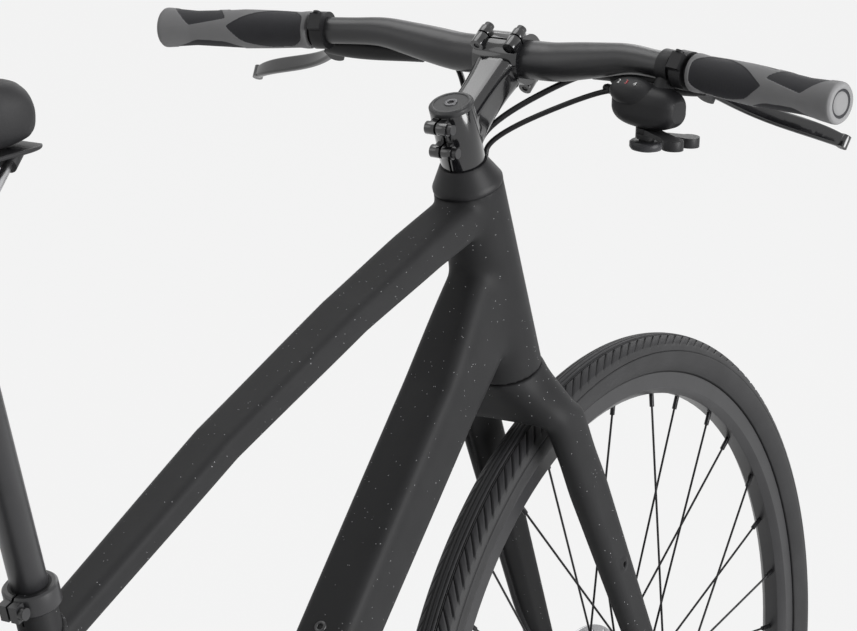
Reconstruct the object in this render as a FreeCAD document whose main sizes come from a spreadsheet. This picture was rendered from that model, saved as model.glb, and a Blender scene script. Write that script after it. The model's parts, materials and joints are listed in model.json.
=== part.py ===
import FreeCAD, Part
import math
import os

import Sketcher
from FreeCAD import Placement, Rotation, Vector

# Driving dimensions in millimetres and degrees. X points forward, Y to the rider's left, Z up,
# and the origin is on the ground half way between the wheels.
SIZES = {
    # Whole bike
    "wheelbase": 1117.0, "chainstay_length": 441.0, "bracket_drop": 70.0, "head_angle": 70.7,
    "seat_angle": 73.65, "fork_rake": 47.0, "fork_length": 408.0, "head_tube_length": 176.0,
    "seat_tube_length": 447.5, "seat_gap": 0.05, "shaft_fit": 0.05, "moving_gap": 0.4,
    # Tyres, rims and spokes
    "bead_radius": 311.0, "tyre_height": 38.0, "tyre_casing": 2.6, "rim_edge_radius": 315.6,
    "rim_width": 25.0, "rim_wall": 2.8, "rim_side_height": 14.0, "rim_depth": 20.0,
    "rim_floor_width": 13.0, "rim_well_depth": 10.0, "rim_well_width": 12.0, "tube_wall": 1.2,
    "valve_radius": 3.0, "valve_length": 42.0, "spoke_radius": 1.0, "nipple_radius": 2.1,
    "nipple_length": 12.0, "spoke_count": 32, "spoke_crosses": 3, "rim_hole_offset": 2.5,
    "nipple_seat_gap": 0.45,
    # Hubs and axles
    "flange_radius": 30.5, "spoke_circle_radius": 29.0, "spoke_stand_off": 1.2, "flange_thickness": 3.0,
    "hub_shell_radius": 14.0, "front_hub_width": 100.0, "front_left_flange": 20.0,
    "front_right_flange": 33.0, "rear_hub_width": 135.0, "rear_left_flange": 33.0,
    "rear_right_flange": 18.0, "bearing_radius": 11.0, "bearing_width": 7.0, "axle_radius": 4.9,
    "locknut_radius": 8.5, "locknut_width": 6.0, "skewer_head_radius": 8.0, "skewer_head_width": 9.0,
    "skewer_grip": 0.1,
    # Brake rotors and calipers
    "rotor_radius": 80.0, "rotor_band": 13.0, "rotor_thickness": 1.8, "rotor_hub_radius": 25.0,
    "rotor_offset": 15.3, "rotor_arm_width": 9.0, "rotor_arm_count": 6, "rotor_hole_radius": 2.2,
    "rotor_bolt_circle": 22.0, "rotor_bolt_radius": 3.4, "rotor_bolt_height": 2.2,
    "caliper_length": 52.0, "caliper_depth": 27.0, "caliper_inner": 9.5, "caliper_outer": 22.0,
    "caliper_slot": 7.0, "pad_thickness": 2.1, "pad_depth": 14.0, "pad_gap": 0.5, "caliper_foot": 5.0,
    # Head tube, headset and fork
    "head_top_radius": 28.8, "head_bottom_radius": 29.4, "head_wall": 2.6, "upper_bearing_radius": 26.0,
    "upper_bearing_bore": 20.2, "upper_bearing_height": 7.5, "lower_bearing_radius": 20.5,
    "lower_bearing_bore": 15.5, "lower_bearing_height": 7.0, "bearing_recess": 0.6,
    "steerer_radius": 14.3, "steerer_wall": 2.4, "cover_height": 21.0, "cover_top_radius": 19.5,
    "cover_bottom_radius": 29.0, "cover_lip": 3.0, "cover_spigot": 8.0, "crown_height": 44.0,
    "crown_width": 113.0, "crown_depth": 44.0, "crown_gap": 0.8, "leg_top_spread": 41.0,
    "leg_bottom_spread": 58.5, "leg_top_depth": 46.0, "leg_bottom_depth": 25.0, "leg_top_width": 28.0,
    "leg_bottom_width": 13.0, "wheel_arch_gap": 10.0, "wheel_arch_width": 54.0, "dropout_radius": 14.0,
    "front_dropout_thickness": 9.0, "eyelet_thread": 2.5, "eyelet_boss": 5.0, "eyelet_depth": 12.0,
    "eyelet_stand": 1.0,
    # Frame tubes
    "tube_wall_frame": 2.0, "top_tube_front_width": 43.0, "top_tube_front_height": 36.0,
    "top_tube_rear_width": 34.0, "top_tube_rear_height": 25.5, "top_tube_arch": 17.5, "top_tube_front_drop": 21.0,
    "top_tube_rear_drop": 50.4, "down_tube_front_width": 46.0, "down_tube_front_height": 91.0,
    "down_tube_front_drop": 95.0, "down_tube_width": 52.0, "down_tube_height": 57.5, "down_tube_middle_height": 52.0,
    "down_tube_rear_width": 56.0, "down_tube_rear_height": 42.0, "down_tube_rear_lift": 11.0, "down_tube_neck": 110.0,
    "seat_tube_radius": 15.9, "post_radius": 13.6, "bracket_shell_radius": 22.5,
    "bracket_shell_bore": 17.4, "bracket_width": 68.0, "chainstay_front_height": 26.0,
    "chainstay_rear_height": 17.0, "chainstay_width": 15.0, "seatstay_radius": 7.5,
    "seatstay_top_drop": 62.0, "rear_dropout_radius": 17.0, "rear_dropout_thickness": 8.0,
    "hanger_drop": 30.0, "hanger_forward": 9.0, "hanger_radius": 10.0, "boss_radius": 5.0,
    "boss_length": 9.0, "boss_spacing": 64.0, "boss_stand": 0.8, "thread_radius": 2.5,
    "relief_slot_width": 2.0, "relief_slot_height": 26.0,
    # Seat clamp, post and saddle
    "collar_radius": 20.3, "collar_height": 17.0, "collar_lip": 1.6, "collar_ear_length": 10.0,
    "collar_ear_width": 16.0, "collar_ear_height": 13.0, "clamp_bolt_radius": 2.5,
    "clamp_bolt_head": 4.6, "clamp_bolt_head_height": 4.5, "post_length": 400.0, "post_shown": 282.0,
    "post_wall": 2.3, "post_head_radius": 15.0, "post_head_length": 34.0, "rail_radius": 3.5,
    "rail_spread": 22.0, "rail_rise": 26.0, "rail_clamp_length": 38.0, "rail_clamp_width": 60.0,
    "rail_clamp_height": 22.0, "saddle_length": 258.0, "saddle_nose_width": 40.0, "saddle_height": 52.0,
    "saddle_setback": 36.0, "saddle_base_thickness": 4.0, "saddle_base_gap": 0.4, "saddle_lift": 33.0,
    "rail_socket_radius": 6.5, "rail_socket_length": 16.0, "seatback_setback": 12.0,
    # Stem and handlebar
    "stem_clamp_height": 50.0, "stem_clamp_radius": 18.3, "stem_reach": 88.0, "stem_bar_height": 69.0,
    "stem_width": 30.0, "stem_height": 33.0, "bar_clamp_radius": 15.9, "bar_clamp_wall": 5.0,
    "bar_clamp_width": 42.0, "faceplate_gap": 1.6, "faceplate_window": 15.0, "stem_tower_radius": 5.6,
    "stem_tower_offset": 22.0, "stem_bolt_radius": 2.5, "stem_bolt_head": 4.2,
    "stem_bolt_head_height": 4.5, "pinch_ear_length": 11.0, "pinch_ear_width": 20.0, "pinch_slot": 2.0,
    "pinch_bolt_low": 43.5, "pinch_bolt_high": 65.0, "pinch_barrel_radius": 5.4, "pinch_web_width": 14.0, "cap_height": 4.4,
    "cap_radius": 18.3, "cap_bolt_head": 4.2, "cap_bolt_length": 30.0, "star_nut_height": 8.0,
    "steerer_top_gap": 2.5, "bar_half_width": 321.6, "bar_centre_straight": 46.0, "bar_bend_at": 118.0,
    "bar_rise": 11.0, "bar_bend_back": 4.0, "bar_end_back": 34.3, "bar_end_rise": 0.4,
    "bar_grip_radius": 11.1, "bar_wall": 2.2, "bar_taper_end": 150.0, "bar_bend_radius": 110.0,
    # Grips
    "grip_length": 141.0, "grip_inner_radius": 15.6, "grip_waist_radius": 14.9,
    "grip_belly_radius": 16.4, "grip_outer_radius": 16.9, "grip_cap": 4.0, "grip_flange": 5.0,
    # Brake levers
    "control_droop": 34.0, "band_centre": 173.5, "band_width": 11.0, "band_radius": 15.6,
    "lever_body_forward": 25.0, "lever_body_length": 84.0, "lever_body_radius": 10.0,
    "lever_body_drop": 9.0, "lever_pivot_forward": 37.0, "lever_pivot_out": 2.0,
    "lever_pin_radius": 2.5, "lever_hub_radius": 6.5, "lever_hub_height": 10.0, "lever_ear_height": 3.0,
    "lever_reach": 90.0, "lever_out": 102.5, "lever_depth": 13.0, "lever_thickness": 6.0,
    "boot_length": 20.0, "boot_radius": 4.6, "band_bolt_radius": 2.0, "band_bolt_head": 3.6,
    "band_ear": 7.0,
    # Shifter
    "pod_centre": 149.0, "pod_back": 14.0, "pod_drop": 31.0, "pod_length": 62.0, "pod_depth": 34.0,
    "pod_height": 34.0, "shifter_band_at": 158.0, "shifter_band_radius": 13.9, "pod_pin_radius": 3.0,
    "paddle_hub_radius": 9.0, "paddle_thickness": 4.0, "paddle_length": 44.0, "paddle_width": 13.0,
    "paddle_tip_radius": 8.5, "release_length": 34.0, "shifter_boot_radius": 3.6,
    "shifter_boot_length": 18.0,
    # Hoses and housings
    "hose_radius": 2.5, "housing_radius": 2.2, "port_radius_gap": 0.5, "hose_port_circle": 17.2,
    "hose_port_angle": 24.0, "hose_end_depth": 34.0, "hose_bend": 17.0, "hose_lead": 14.0,
    "hose_knee_forward": 31.0, "hose_knee_out": 9.0, "hose_knee_height": 29.0,
    "middle_knee_forward": 36.0, "middle_knee_height": 34.0, "clip_width": 7.0, "clip_wall": 1.4,
    # Drive
    "chain_pitch": 12.7, "chainline": 46.0, "ring_teeth": 40, "pulley_teeth": 11, "cog_index": 4,
    "cog_spacing": 4.35, "cog_thickness": 1.75, "ring_thickness": 1.9, "pulley_thickness": 1.9,
    "tooth_gap_radius": 4.6, "tooth_height": 0.9, "roller_radius": 3.86, "roller_width": 2.6,
    "link_pin_radius": 1.8, "link_bore_gap": 0.12, "link_plate": 0.85, "link_plate_gap": 0.12,
    "link_half_height": 4.1, "ring_inner_radius": 45.0, "ring_bolt_circle": 52.0,
    "ring_bolt_radius": 5.0, "ring_bolt_height": 2.0, "spider_arm_width": 17.0, "spider_thickness": 4.0,
    "freehub_radius": 17.0, "freehub_bore": 13.0, "crank_length": 170.0, "crank_root_radius": 17.0,
    "crank_tip_radius": 13.0, "crank_thickness": 15.0, "crank_root_offset": 51.0,
    "crank_tip_offset": 62.0, "spindle_radius": 12.0, "spindle_wall": 2.2, "cup_radius": 21.5,
    "cup_width": 11.0, "cup_thread_length": 14.0, "pedal_axle_radius": 4.5, "pedal_axle_collar": 7.0,
    "pedal_length": 92.0, "pedal_width": 78.0, "pedal_thickness": 22.0, "pedal_wall": 9.0,
    "pedal_barrel_radius": 9.5, "pedal_gap": 4.0, "pedal_cap": 4.0, "pulley_bolt_radius": 2.5,
    "cage_plate": 1.8, "cage_half_gap": 5.2, "cage_width": 15.0, "cage_length": 86.0,
    "guide_drop": 103.0, "guide_forward": 10.0, "knuckle_radius": 12.0, "knuckle_width": 17.0,
    "hanger_bolt_radius": 4.5, "link_body_width": 22.0, "link_body_height": 15.0, "cage_swing_low": 8.0,
    "cage_swing_high": 75.0,
}
COG_TEETH = (11, 13, 15, 17, 20, 23, 26, 30, 36)

QUARTER_TURN = 90.0
HALF_TURN = 180.0
FULL_TURN = 360.0
LEFT, RIGHT = 1.0, -1.0
ORIGIN = Vector(0, 0, 0)
FORWARD, LEFTWARD, UP = Vector(1, 0, 0), Vector(0, 1, 0), Vector(0, 0, 1)

doc = FreeCAD.newDocument("hybrid_bike")
sheet = doc.addObject("Spreadsheet::Sheet", "sizes")
for row, (alias, number) in enumerate(SIZES.items(), 1):
    sheet.set(f"A{row}", alias)
    sheet.set(f"B{row}", str(number))
    sheet.setAlias(f"B{row}", alias)
doc.recompute()


class Length:
    """A size that keeps its value together with the sheet expression that gives it."""

    def __init__(self, value, text):
        self.value = value
        self.text = text

    def combine(self, other, sign, result):
        return Length(result, f"({self.text} {sign} {as_length(other).text})")

    def __add__(self, other):
        return self.combine(other, "+", self.value + as_length(other).value)

    def __sub__(self, other):
        return self.combine(other, "-", self.value - as_length(other).value)

    def __mul__(self, other):
        return self.combine(other, "*", self.value * as_length(other).value)

    def __truediv__(self, other):
        return self.combine(other, "/", self.value / as_length(other).value)

    def __neg__(self):
        return Length(-self.value, f"(-{self.text})")


def as_length(item):
    return item if isinstance(item, Length) else Length(float(item), repr(float(item)))


class Dimensions:
    """Sizes as expressions, for features that are bound to the sheet."""

    def __getattr__(self, alias):
        return Length(float(sheet.get(alias)), f"sizes.{alias}")


class Values:
    """Sizes as plain numbers read from the sheet, for points and shaped solids."""

    def __getattr__(self, alias):
        return float(sheet.get(alias))


dim = Dimensions()
val = Values()
sub_parts = []


def node(label, item):
    """Keeps an object as one sub-part under its own label."""
    item.Label = label
    sub_parts.append(item)


def bind(item, **sizes):
    for prop, size in sizes.items():
        item.setExpression(prop, as_length(size).text)


def cylinder(name, radius, height, place):
    item = doc.addObject("Part::Cylinder", name)
    bind(item, Radius=radius, Height=height)
    item.Placement = place
    return item


def box(name, length, width, height, place):
    item = doc.addObject("Part::Box", name)
    bind(item, Length=length, Width=width, Height=height)
    item.Placement = place
    return item


def torus(name, ring_radius, tube_radius, place):
    item = doc.addObject("Part::Torus", name)
    bind(item, Radius1=ring_radius, Radius2=tube_radius)
    item.Placement = place
    return item


def cut(name, base, tool):
    item = doc.addObject("Part::Cut", name)
    item.Base = base
    item.Tool = tool
    return item


def fuse(name, *pieces):
    item = doc.addObject("Part::MultiFuse", name)
    item.Shapes = list(pieces)
    return item


def group(name, *pieces):
    item = doc.addObject("Part::Compound", name)
    item.Links = list(pieces)
    return item


def mirrored(name, source):
    """A copy of the source on the other side of the bike's middle plane."""
    item = doc.addObject("Part::Mirroring", name)
    item.Source = source
    item.Base = ORIGIN
    item.Normal = LEFTWARD
    return item


def shaped(name, shape):
    item = doc.addObject("Part::Feature", name)
    item.Shape = shape
    return item


def outline_sketch(body, name, role, outline):
    """A closed outline of straight lines with every corner bound to the sheet."""
    sketch = body.newObject("Sketcher::SketchObject", name)
    plane = [item for item in body.Origin.OriginFeatures if item.Role == role][0]
    sketch.AttachmentSupport = [(plane, "")]
    sketch.MapMode = "FlatFace"
    corners = [(as_length(across), as_length(along)) for across, along in outline]
    points = [Vector(across.value, along.value, 0) for across, along in corners]
    count = len(points)
    for index, point in enumerate(points):
        sketch.addGeometry(Part.LineSegment(point, points[(index + 1) % count]), False)
    for index in range(count):
        sketch.addConstraint(Sketcher.Constraint("Coincident", index, 2, (index + 1) % count, 1))
    for index, corner in enumerate(corners):
        for kind, size in zip(("DistanceX", "DistanceY"), corner):
            number = sketch.addConstraint(Sketcher.Constraint(kind, -1, 1, index, 1, size.value))
            sketch.setExpression(f"Constraints[{number}]", size.text)
    return sketch


def turned(name, outline, place):
    """A solid turned about its own Z axis from an outline of radius and height."""
    body = doc.addObject("PartDesign::Body", name)
    sketch = outline_sketch(body, f"{name}_outline", "XZ_Plane", outline)
    turn = body.newObject("PartDesign::Revolution", f"{name}_turn")
    turn.Profile = sketch
    turn.ReferenceAxis = (sketch, ["V_Axis"])
    turn.Angle = FULL_TURN
    body.Placement = place
    return body


def circle_sketch(body, name, centre_x, radius):
    sketch = body.newObject("Sketcher::SketchObject", name)
    plane = [item for item in body.Origin.OriginFeatures if item.Role == "XY_Plane"][0]
    sketch.AttachmentSupport = [(plane, "")]
    sketch.MapMode = "FlatFace"
    centre, size = as_length(centre_x), as_length(radius)
    sketch.addGeometry(Part.Circle(Vector(centre.value, 0, 0), UP, size.value), False)
    sketch.addConstraint(Sketcher.Constraint("PointOnObject", 0, 3, -1))
    number = sketch.addConstraint(Sketcher.Constraint("Radius", 0, size.value))
    sketch.setExpression(f"Constraints[{number}]", size.text)
    number = sketch.addConstraint(Sketcher.Constraint("DistanceX", -1, 1, 0, 3, centre.value))
    sketch.setExpression(f"Constraints[{number}]", centre.text)
    return sketch


def drilled_ring(body, base, name, circle, radius, count):
    """Adds a ring of round through holes to a padded body."""
    doc.recompute()
    sketch = circle_sketch(body, f"{name}_circle", circle, radius)
    hole = body.newObject("PartDesign::Pocket", f"{name}_hole")
    hole.Profile = sketch
    hole.Type = "ThroughAll"
    hole.Midplane = True
    pattern = body.newObject("PartDesign::PolarPattern", f"{name}_pattern")
    pattern.Originals = [hole]
    pattern.Axis = (base, ["N_Axis"])
    pattern.Angle = FULL_TURN
    bind(pattern, Occurrences=count)
    body.Tip = pattern
    return body


def disc(name, radius, height, place):
    """A round pad about the body's own Z axis, half of the height to each side."""
    body = doc.addObject("PartDesign::Body", name)
    sketch = circle_sketch(body, f"{name}_outline", 0, radius)
    pad = body.newObject("PartDesign::Pad", f"{name}_pad")
    pad.Profile = sketch
    pad.Midplane = True
    bind(pad, Length=height)
    body.Placement = place
    return body


def rounded_section(centre, across, upright, width, height, corner_share):
    """A rounded rectangle as a closed wire, in the plane of two directions."""
    radius = corner_share * min(width, height)
    inner_w, inner_h = width / 2 - radius, height / 2 - radius
    diagonal = radius * math.sqrt(0.5)

    def at(sideways, lifted):
        return centre + across * sideways + upright * lifted

    edges = []
    ends = []
    for sign_w, sign_h in ((1, 1), (-1, 1), (-1, -1), (1, -1)):
        side = at(sign_w * (inner_w + radius), sign_h * inner_h)
        middle = at(sign_w * (inner_w + diagonal), sign_h * (inner_h + diagonal))
        top = at(sign_w * inner_w, sign_h * (inner_h + radius))
        first, last = (side, top) if sign_w == sign_h else (top, side)
        edges.append(Part.Arc(first, middle, last).toShape())
        ends.append((first, last))
    wire = []
    for index, edge in enumerate(edges):
        wire.append(edge)
        wire.append(Part.LineSegment(ends[index][1], ends[(index + 1) % len(ends)][0]).toShape())
    return Part.Wire(wire)


def round_section(centre, axis, radius):
    return Part.Wire(Part.Circle(centre, axis, radius).toShape())


def loft(wires, ruled=False):
    return Part.makeLoft(wires, True, ruled)


def round_bar(start, end, radius):
    """A plain round solid between two points."""
    return Part.makeCylinder(radius, (end - start).Length, start, end - start)


def rounded_path(points, bend):
    """Straight runs through the points, joined by tangent arcs of up to the given radius."""
    edges = []
    start = points[0]
    for before, corner, after in zip(points, points[1:], points[2:]):
        to_start = (before - corner).normalize()
        to_end = (after - corner).normalize()
        half = to_start.getAngle(to_end) / 2
        if math.pi / 2 - half < STRAIGHT_TURN:
            continue
        room = min((before - corner).Length, (after - corner).Length) * BEND_ROOM_SHARE
        setback = min(bend / math.tan(half), room)
        radius = setback * math.tan(half)
        middle = (to_start + to_end).normalize()
        arc_middle = corner + middle * (radius / math.sin(half) - radius)
        arc_start, arc_end = corner + to_start * setback, corner + to_end * setback
        edges.append(Part.LineSegment(start, arc_start).toShape())
        edges.append(Part.Arc(arc_start, arc_middle, arc_end).toShape())
        start = arc_end
    edges.append(Part.LineSegment(start, points[-1]).toShape())
    return Part.Wire(edges)


BEND_ROOM_SHARE = 0.48
STRAIGHT_TURN = 0.002


def hose(points, bend, radius):
    """A round hose along straight runs and tangent arcs."""
    path = rounded_path(points, bend)
    profile = round_section(points[0], points[1] - points[0], radius)
    return path.makePipeShell([profile], True, True)


ROUND_CORNER_SHARE = 0.47


def mix(first, last, share):
    return first + (last - first) * share


def polar(centre, radius, angle):
    """A point around a centre in the bike's side plane, the angle counted from forward to up."""
    return centre + Vector(radius * math.cos(angle), 0, radius * math.sin(angle))


def frame_from(origin, forward, sideways):
    """A placement whose X and Y axes lie along two given directions."""
    upward = forward.cross(sideways)
    return Placement(origin, Rotation(forward, sideways, upward, "XYZ"))


def across_frame(centre):
    """A placement with its Z axis pointing to the bike's left, for wheels and cranks."""
    return Placement(centre, Rotation(FORWARD, -QUARTER_TURN))


# Main points of the bike, all worked out from the driving dimensions.
tyre_radius = val.bead_radius + val.tyre_height
front_axle = Vector(val.wheelbase / 2, 0, tyre_radius)
rear_axle = Vector(-val.wheelbase / 2, 0, tyre_radius)
bracket = rear_axle + Vector(math.sqrt(val.chainstay_length ** 2 - val.bracket_drop ** 2), 0, -val.bracket_drop)
steer_tilt = QUARTER_TURN - val.head_angle
steer_turn = Rotation(LEFTWARD, -steer_tilt)
steer_up = steer_turn.multVec(UP)
steer_forward = steer_turn.multVec(FORWARD)
head_bottom = front_axle - steer_forward * val.fork_rake + steer_up * val.fork_length
head_top = head_bottom + steer_up * val.head_tube_length
steer = Placement(head_top, steer_turn)
seat_up = Rotation(LEFTWARD, -(QUARTER_TURN - val.seat_angle)).multVec(UP)
seat_forward = Rotation(LEFTWARD, -(QUARTER_TURN - val.seat_angle)).multVec(FORWARD)
seat_top = bracket + seat_up * val.seat_tube_length
seat_place = Placement(seat_top, Rotation(LEFTWARD, -(QUARTER_TURN - val.seat_angle)))
head_length = dim.head_tube_length


def on_steerer(height):
    return head_top + steer_up * height


def in_steer(forward, left, height):
    return steer.multVec(Vector(forward, left, height))


def in_seat(forward, left, height):
    return seat_place.multVec(Vector(forward, left, height))


# Frame


def make_head_tube():
    lower_seat = dim.lower_bearing_height - head_length
    outline = [
        (dim.head_bottom_radius, -head_length), (dim.head_top_radius, 0),
        (dim.upper_bearing_radius + dim.seat_gap, 0),
        (dim.upper_bearing_radius + dim.seat_gap, -(dim.upper_bearing_height + dim.bearing_recess)),
        (dim.head_top_radius - dim.head_wall * 2, -(dim.upper_bearing_height + dim.bearing_recess)),
        (dim.head_bottom_radius - dim.head_wall * 2, lower_seat + dim.bearing_recess),
        (dim.lower_bearing_radius + dim.seat_gap, lower_seat + dim.bearing_recess),
        (dim.lower_bearing_radius + dim.seat_gap, -head_length),
    ]
    node("head_tube", turned("head_tube", outline, steer))


def make_headset_bearings():
    upper = turned("upper_bearing", [
        (dim.upper_bearing_bore, -(dim.upper_bearing_height + dim.bearing_recess)),
        (dim.upper_bearing_radius, -(dim.upper_bearing_height + dim.bearing_recess)),
        (dim.upper_bearing_radius, -dim.bearing_recess), (dim.upper_bearing_bore, -dim.bearing_recess)], steer)
    low, high = dim.bearing_recess - head_length, dim.bearing_recess + dim.lower_bearing_height - head_length
    lower = turned("lower_bearing", [
        (dim.lower_bearing_bore, low), (dim.lower_bearing_radius, low),
        (dim.lower_bearing_radius, high), (dim.lower_bearing_bore, high)], steer)
    node("headset_bearings", group("headset_bearings", upper, lower))


def head_tube_solid():
    return Part.makeCone(val.head_bottom_radius, val.head_top_radius, val.head_tube_length, head_bottom, steer_up)


def seat_tube_solid():
    return Part.makeCylinder(val.seat_tube_radius, val.seat_tube_length, bracket, seat_up)


def bracket_solid():
    return Part.makeCylinder(val.bracket_shell_radius, val.bracket_width, bracket - LEFTWARD * (val.bracket_width / 2),
                             LEFTWARD)


def hollow_tube(stations, wall):
    """A tube lofted through stations of centre, upright direction, width, height and corner share."""
    outer, inner = [], []
    for centre, upright, width, height, corner in stations:
        outer.append(rounded_section(centre, LEFTWARD, upright, width, height, corner))
        inner.append(rounded_section(centre, LEFTWARD, upright, width - 2 * wall, height - 2 * wall, corner))
    return loft(outer), loft(outer).cut(loft(inner))


TUBE_CORNER_SHARES = {"flat": 0.30, "soft": 0.38, "round": 0.46}


def upright_of(start, end):
    """The direction square to a run in the bike's side plane, on its upper side."""
    run = (end - start).normalize()
    square = Vector(-run.z, 0, run.x)
    return square if square.z > 0 else -square


def top_tube_stations():
    """Stations of the top tube, which arches up a little between its ends and is tallest at the head tube."""
    front = on_steerer(-val.top_tube_front_drop)
    rear = seat_top - seat_up * val.top_tube_rear_drop
    square = upright_of(rear, front)
    flat, soft = TUBE_CORNER_SHARES["flat"], TUBE_CORNER_SHARES["soft"]
    stations = []
    for share, tall in TOP_TUBE_STATION_SHARES:
        lift = val.top_tube_arch * share * (1 - share) / ARCH_MIDDLE_SHARE
        width = mix(val.top_tube_front_width, val.top_tube_rear_width, share)
        height = mix(val.top_tube_front_height, val.top_tube_rear_height, tall)
        corner = flat if 0 < share < 1 else soft
        stations.append((mix(front, rear, share) + square * lift, square, width, height, corner))
    return stations


# Shares of the way along the top tube, each with the share of its change in height
TOP_TUBE_STATION_SHARES = ((0.0, 0.0), (0.14, 0.5), (0.32, 0.8), (0.62, 0.98), (1.0, 1.0))
ARCH_MIDDLE_SHARE = 0.25


def make_top_tube():
    shell = hollow_tube(top_tube_stations(), val.tube_wall_frame)[1]
    shell = shell.cut(head_tube_solid()).cut(seat_tube_solid())
    node("top_tube", shaped("top_tube", main_solid(shell)))


def main_solid(shape):
    """The largest solid, once the pieces left inside a neighbour are dropped."""
    return max(shape.Solids, key=lambda piece: piece.Volume)


def down_tube_line():
    front = on_steerer(-val.down_tube_front_drop)
    square = upright_of(bracket, front)
    return front, bracket + square * val.down_tube_rear_lift, square


def down_tube_stations():
    front, rear, square = down_tube_line()
    soft, flat = TUBE_CORNER_SHARES["soft"], TUBE_CORNER_SHARES["flat"]
    neck = val.down_tube_neck / (front - rear).Length
    return [
        (front, steer_up, val.down_tube_front_width, val.down_tube_front_height, soft),
        (mix(front, rear, neck), square, val.down_tube_width, val.down_tube_height, flat),
        (mix(front, rear, DOWN_TUBE_MIDDLE_SHARE), square, val.down_tube_width, val.down_tube_middle_height, flat),
        (rear, square, val.down_tube_rear_width, val.down_tube_rear_height, soft),
    ]


DOWN_TUBE_MIDDLE_SHARE = 0.6


def boss_frames():
    """Placements of the bottle bosses, with their Z axes pointing out of the tubes into the frame."""
    front, rear, square = down_tube_line()
    middle = mix(front, rear, DOWN_BOSS_SHARE) + square * (val.down_tube_middle_height / 2 + val.boss_stand)
    along = (rear - front).normalize()
    seat_middle = mix(bracket, seat_top, SEAT_BOSS_SHARE) + seat_forward * val.seat_tube_radius
    frames = []
    for centre, run, out in ((middle, along, square), (seat_middle, seat_up, seat_forward)):
        for side in (LEFT, RIGHT):
            frames.append((centre + run * (side * val.boss_spacing / 2), out))
    return frames


DOWN_BOSS_SHARE = 0.52
SEAT_BOSS_SHARE = 0.46


def boss_solid(top, out):
    start = top - out * (val.boss_length - val.boss_stand)
    return Part.makeCylinder(val.boss_radius, val.boss_length, start, out)


def boss_bore(top, out):
    return Part.makeCylinder(val.thread_radius, 2 * val.boss_length, top - out * val.boss_length, out)


def with_bosses(tube, frames):
    for top, out in frames:
        tube = tube.fuse(boss_solid(top, out)).cut(boss_bore(top, out))
    return tube


def make_down_tube():
    shell = hollow_tube(down_tube_stations(), val.tube_wall_frame)[1]
    top_tube = hollow_tube(top_tube_stations(), val.tube_wall_frame)[0]
    shell = shell.cut(head_tube_solid()).cut(bracket_solid()).cut(seat_tube_solid()).cut(top_tube)
    shell = with_bosses(main_solid(shell), boss_frames()[:2])
    node("down_tube", shaped("down_tube", main_solid(shell)))


def make_seat_tube():
    bore = val.post_radius + val.seat_gap
    shell = seat_tube_solid().cut(Part.makeCylinder(bore, val.seat_tube_length * 2, bracket, seat_up))
    slot = Part.makeBox(val.seat_tube_radius, val.relief_slot_width, val.relief_slot_height)
    slot.Placement = seat_place.multiply(Placement(Vector(
        -val.seat_tube_radius - val.post_radius / 2, -val.relief_slot_width / 2, -val.relief_slot_height), Rotation()))
    shell = main_solid(shell.cut(bracket_solid()).cut(slot))
    node("seat_tube", shaped("seat_tube", main_solid(seat_bossed(shell))))


def seat_bossed(shell):
    """Short bosses in the seat tube's front wall, clear of the post inside."""
    for top, out in boss_frames()[2:]:
        depth = val.seat_tube_radius - val.post_radius
        boss = Part.makeCylinder(val.boss_radius, depth + val.boss_stand, top - out * depth, out)
        shell = shell.fuse(boss.cut(post_space())).cut(boss_bore(top, out))
    return shell


def post_space():
    return Part.makeCylinder(val.post_radius + val.seat_gap, val.seat_tube_length * 2, bracket, seat_up)


def make_bracket_shell():
    place = across_frame(bracket - LEFTWARD * (val.bracket_width / 2))
    outer = cylinder("bracket_outer", dim.bracket_shell_radius, dim.bracket_width, place)
    bore = cylinder("bracket_bore", dim.bracket_shell_bore, dim.bracket_width, place)
    node("bottom_bracket_shell", cut("bracket_shell", outer, bore))


CHAINSTAY_PATH_SHARES = ((0.03, 0.42), (0.175, 0.49), (0.25, 0.545), (0.63, 0.86), (0.82, 0.965), (0.965, 1.045))
SEATSTAY_PATH_SHARES = ((0.02, 0.13), (0.13, 0.34), (0.26, 0.52), (0.5, 0.7), (0.75, 0.85), (0.9, 0.955), (0.985, 1.0))
STAY_CORNER_SHARE = 0.44


def chainstay(side):
    half = val.rear_hub_width / 2
    square = upright_of(rear_axle, bracket)
    run = (rear_axle - bracket).normalize()
    wires = []
    for along, out in CHAINSTAY_PATH_SHARES:
        centre = mix(bracket, rear_axle, along) + LEFTWARD * (side * out * half)
        height = mix(val.chainstay_front_height, val.chainstay_rear_height, along)
        across = run.cross(square).normalize()
        wires.append(rounded_section(centre, across, square, val.chainstay_width, height, STAY_CORNER_SHARE))
    return loft(wires)


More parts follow.
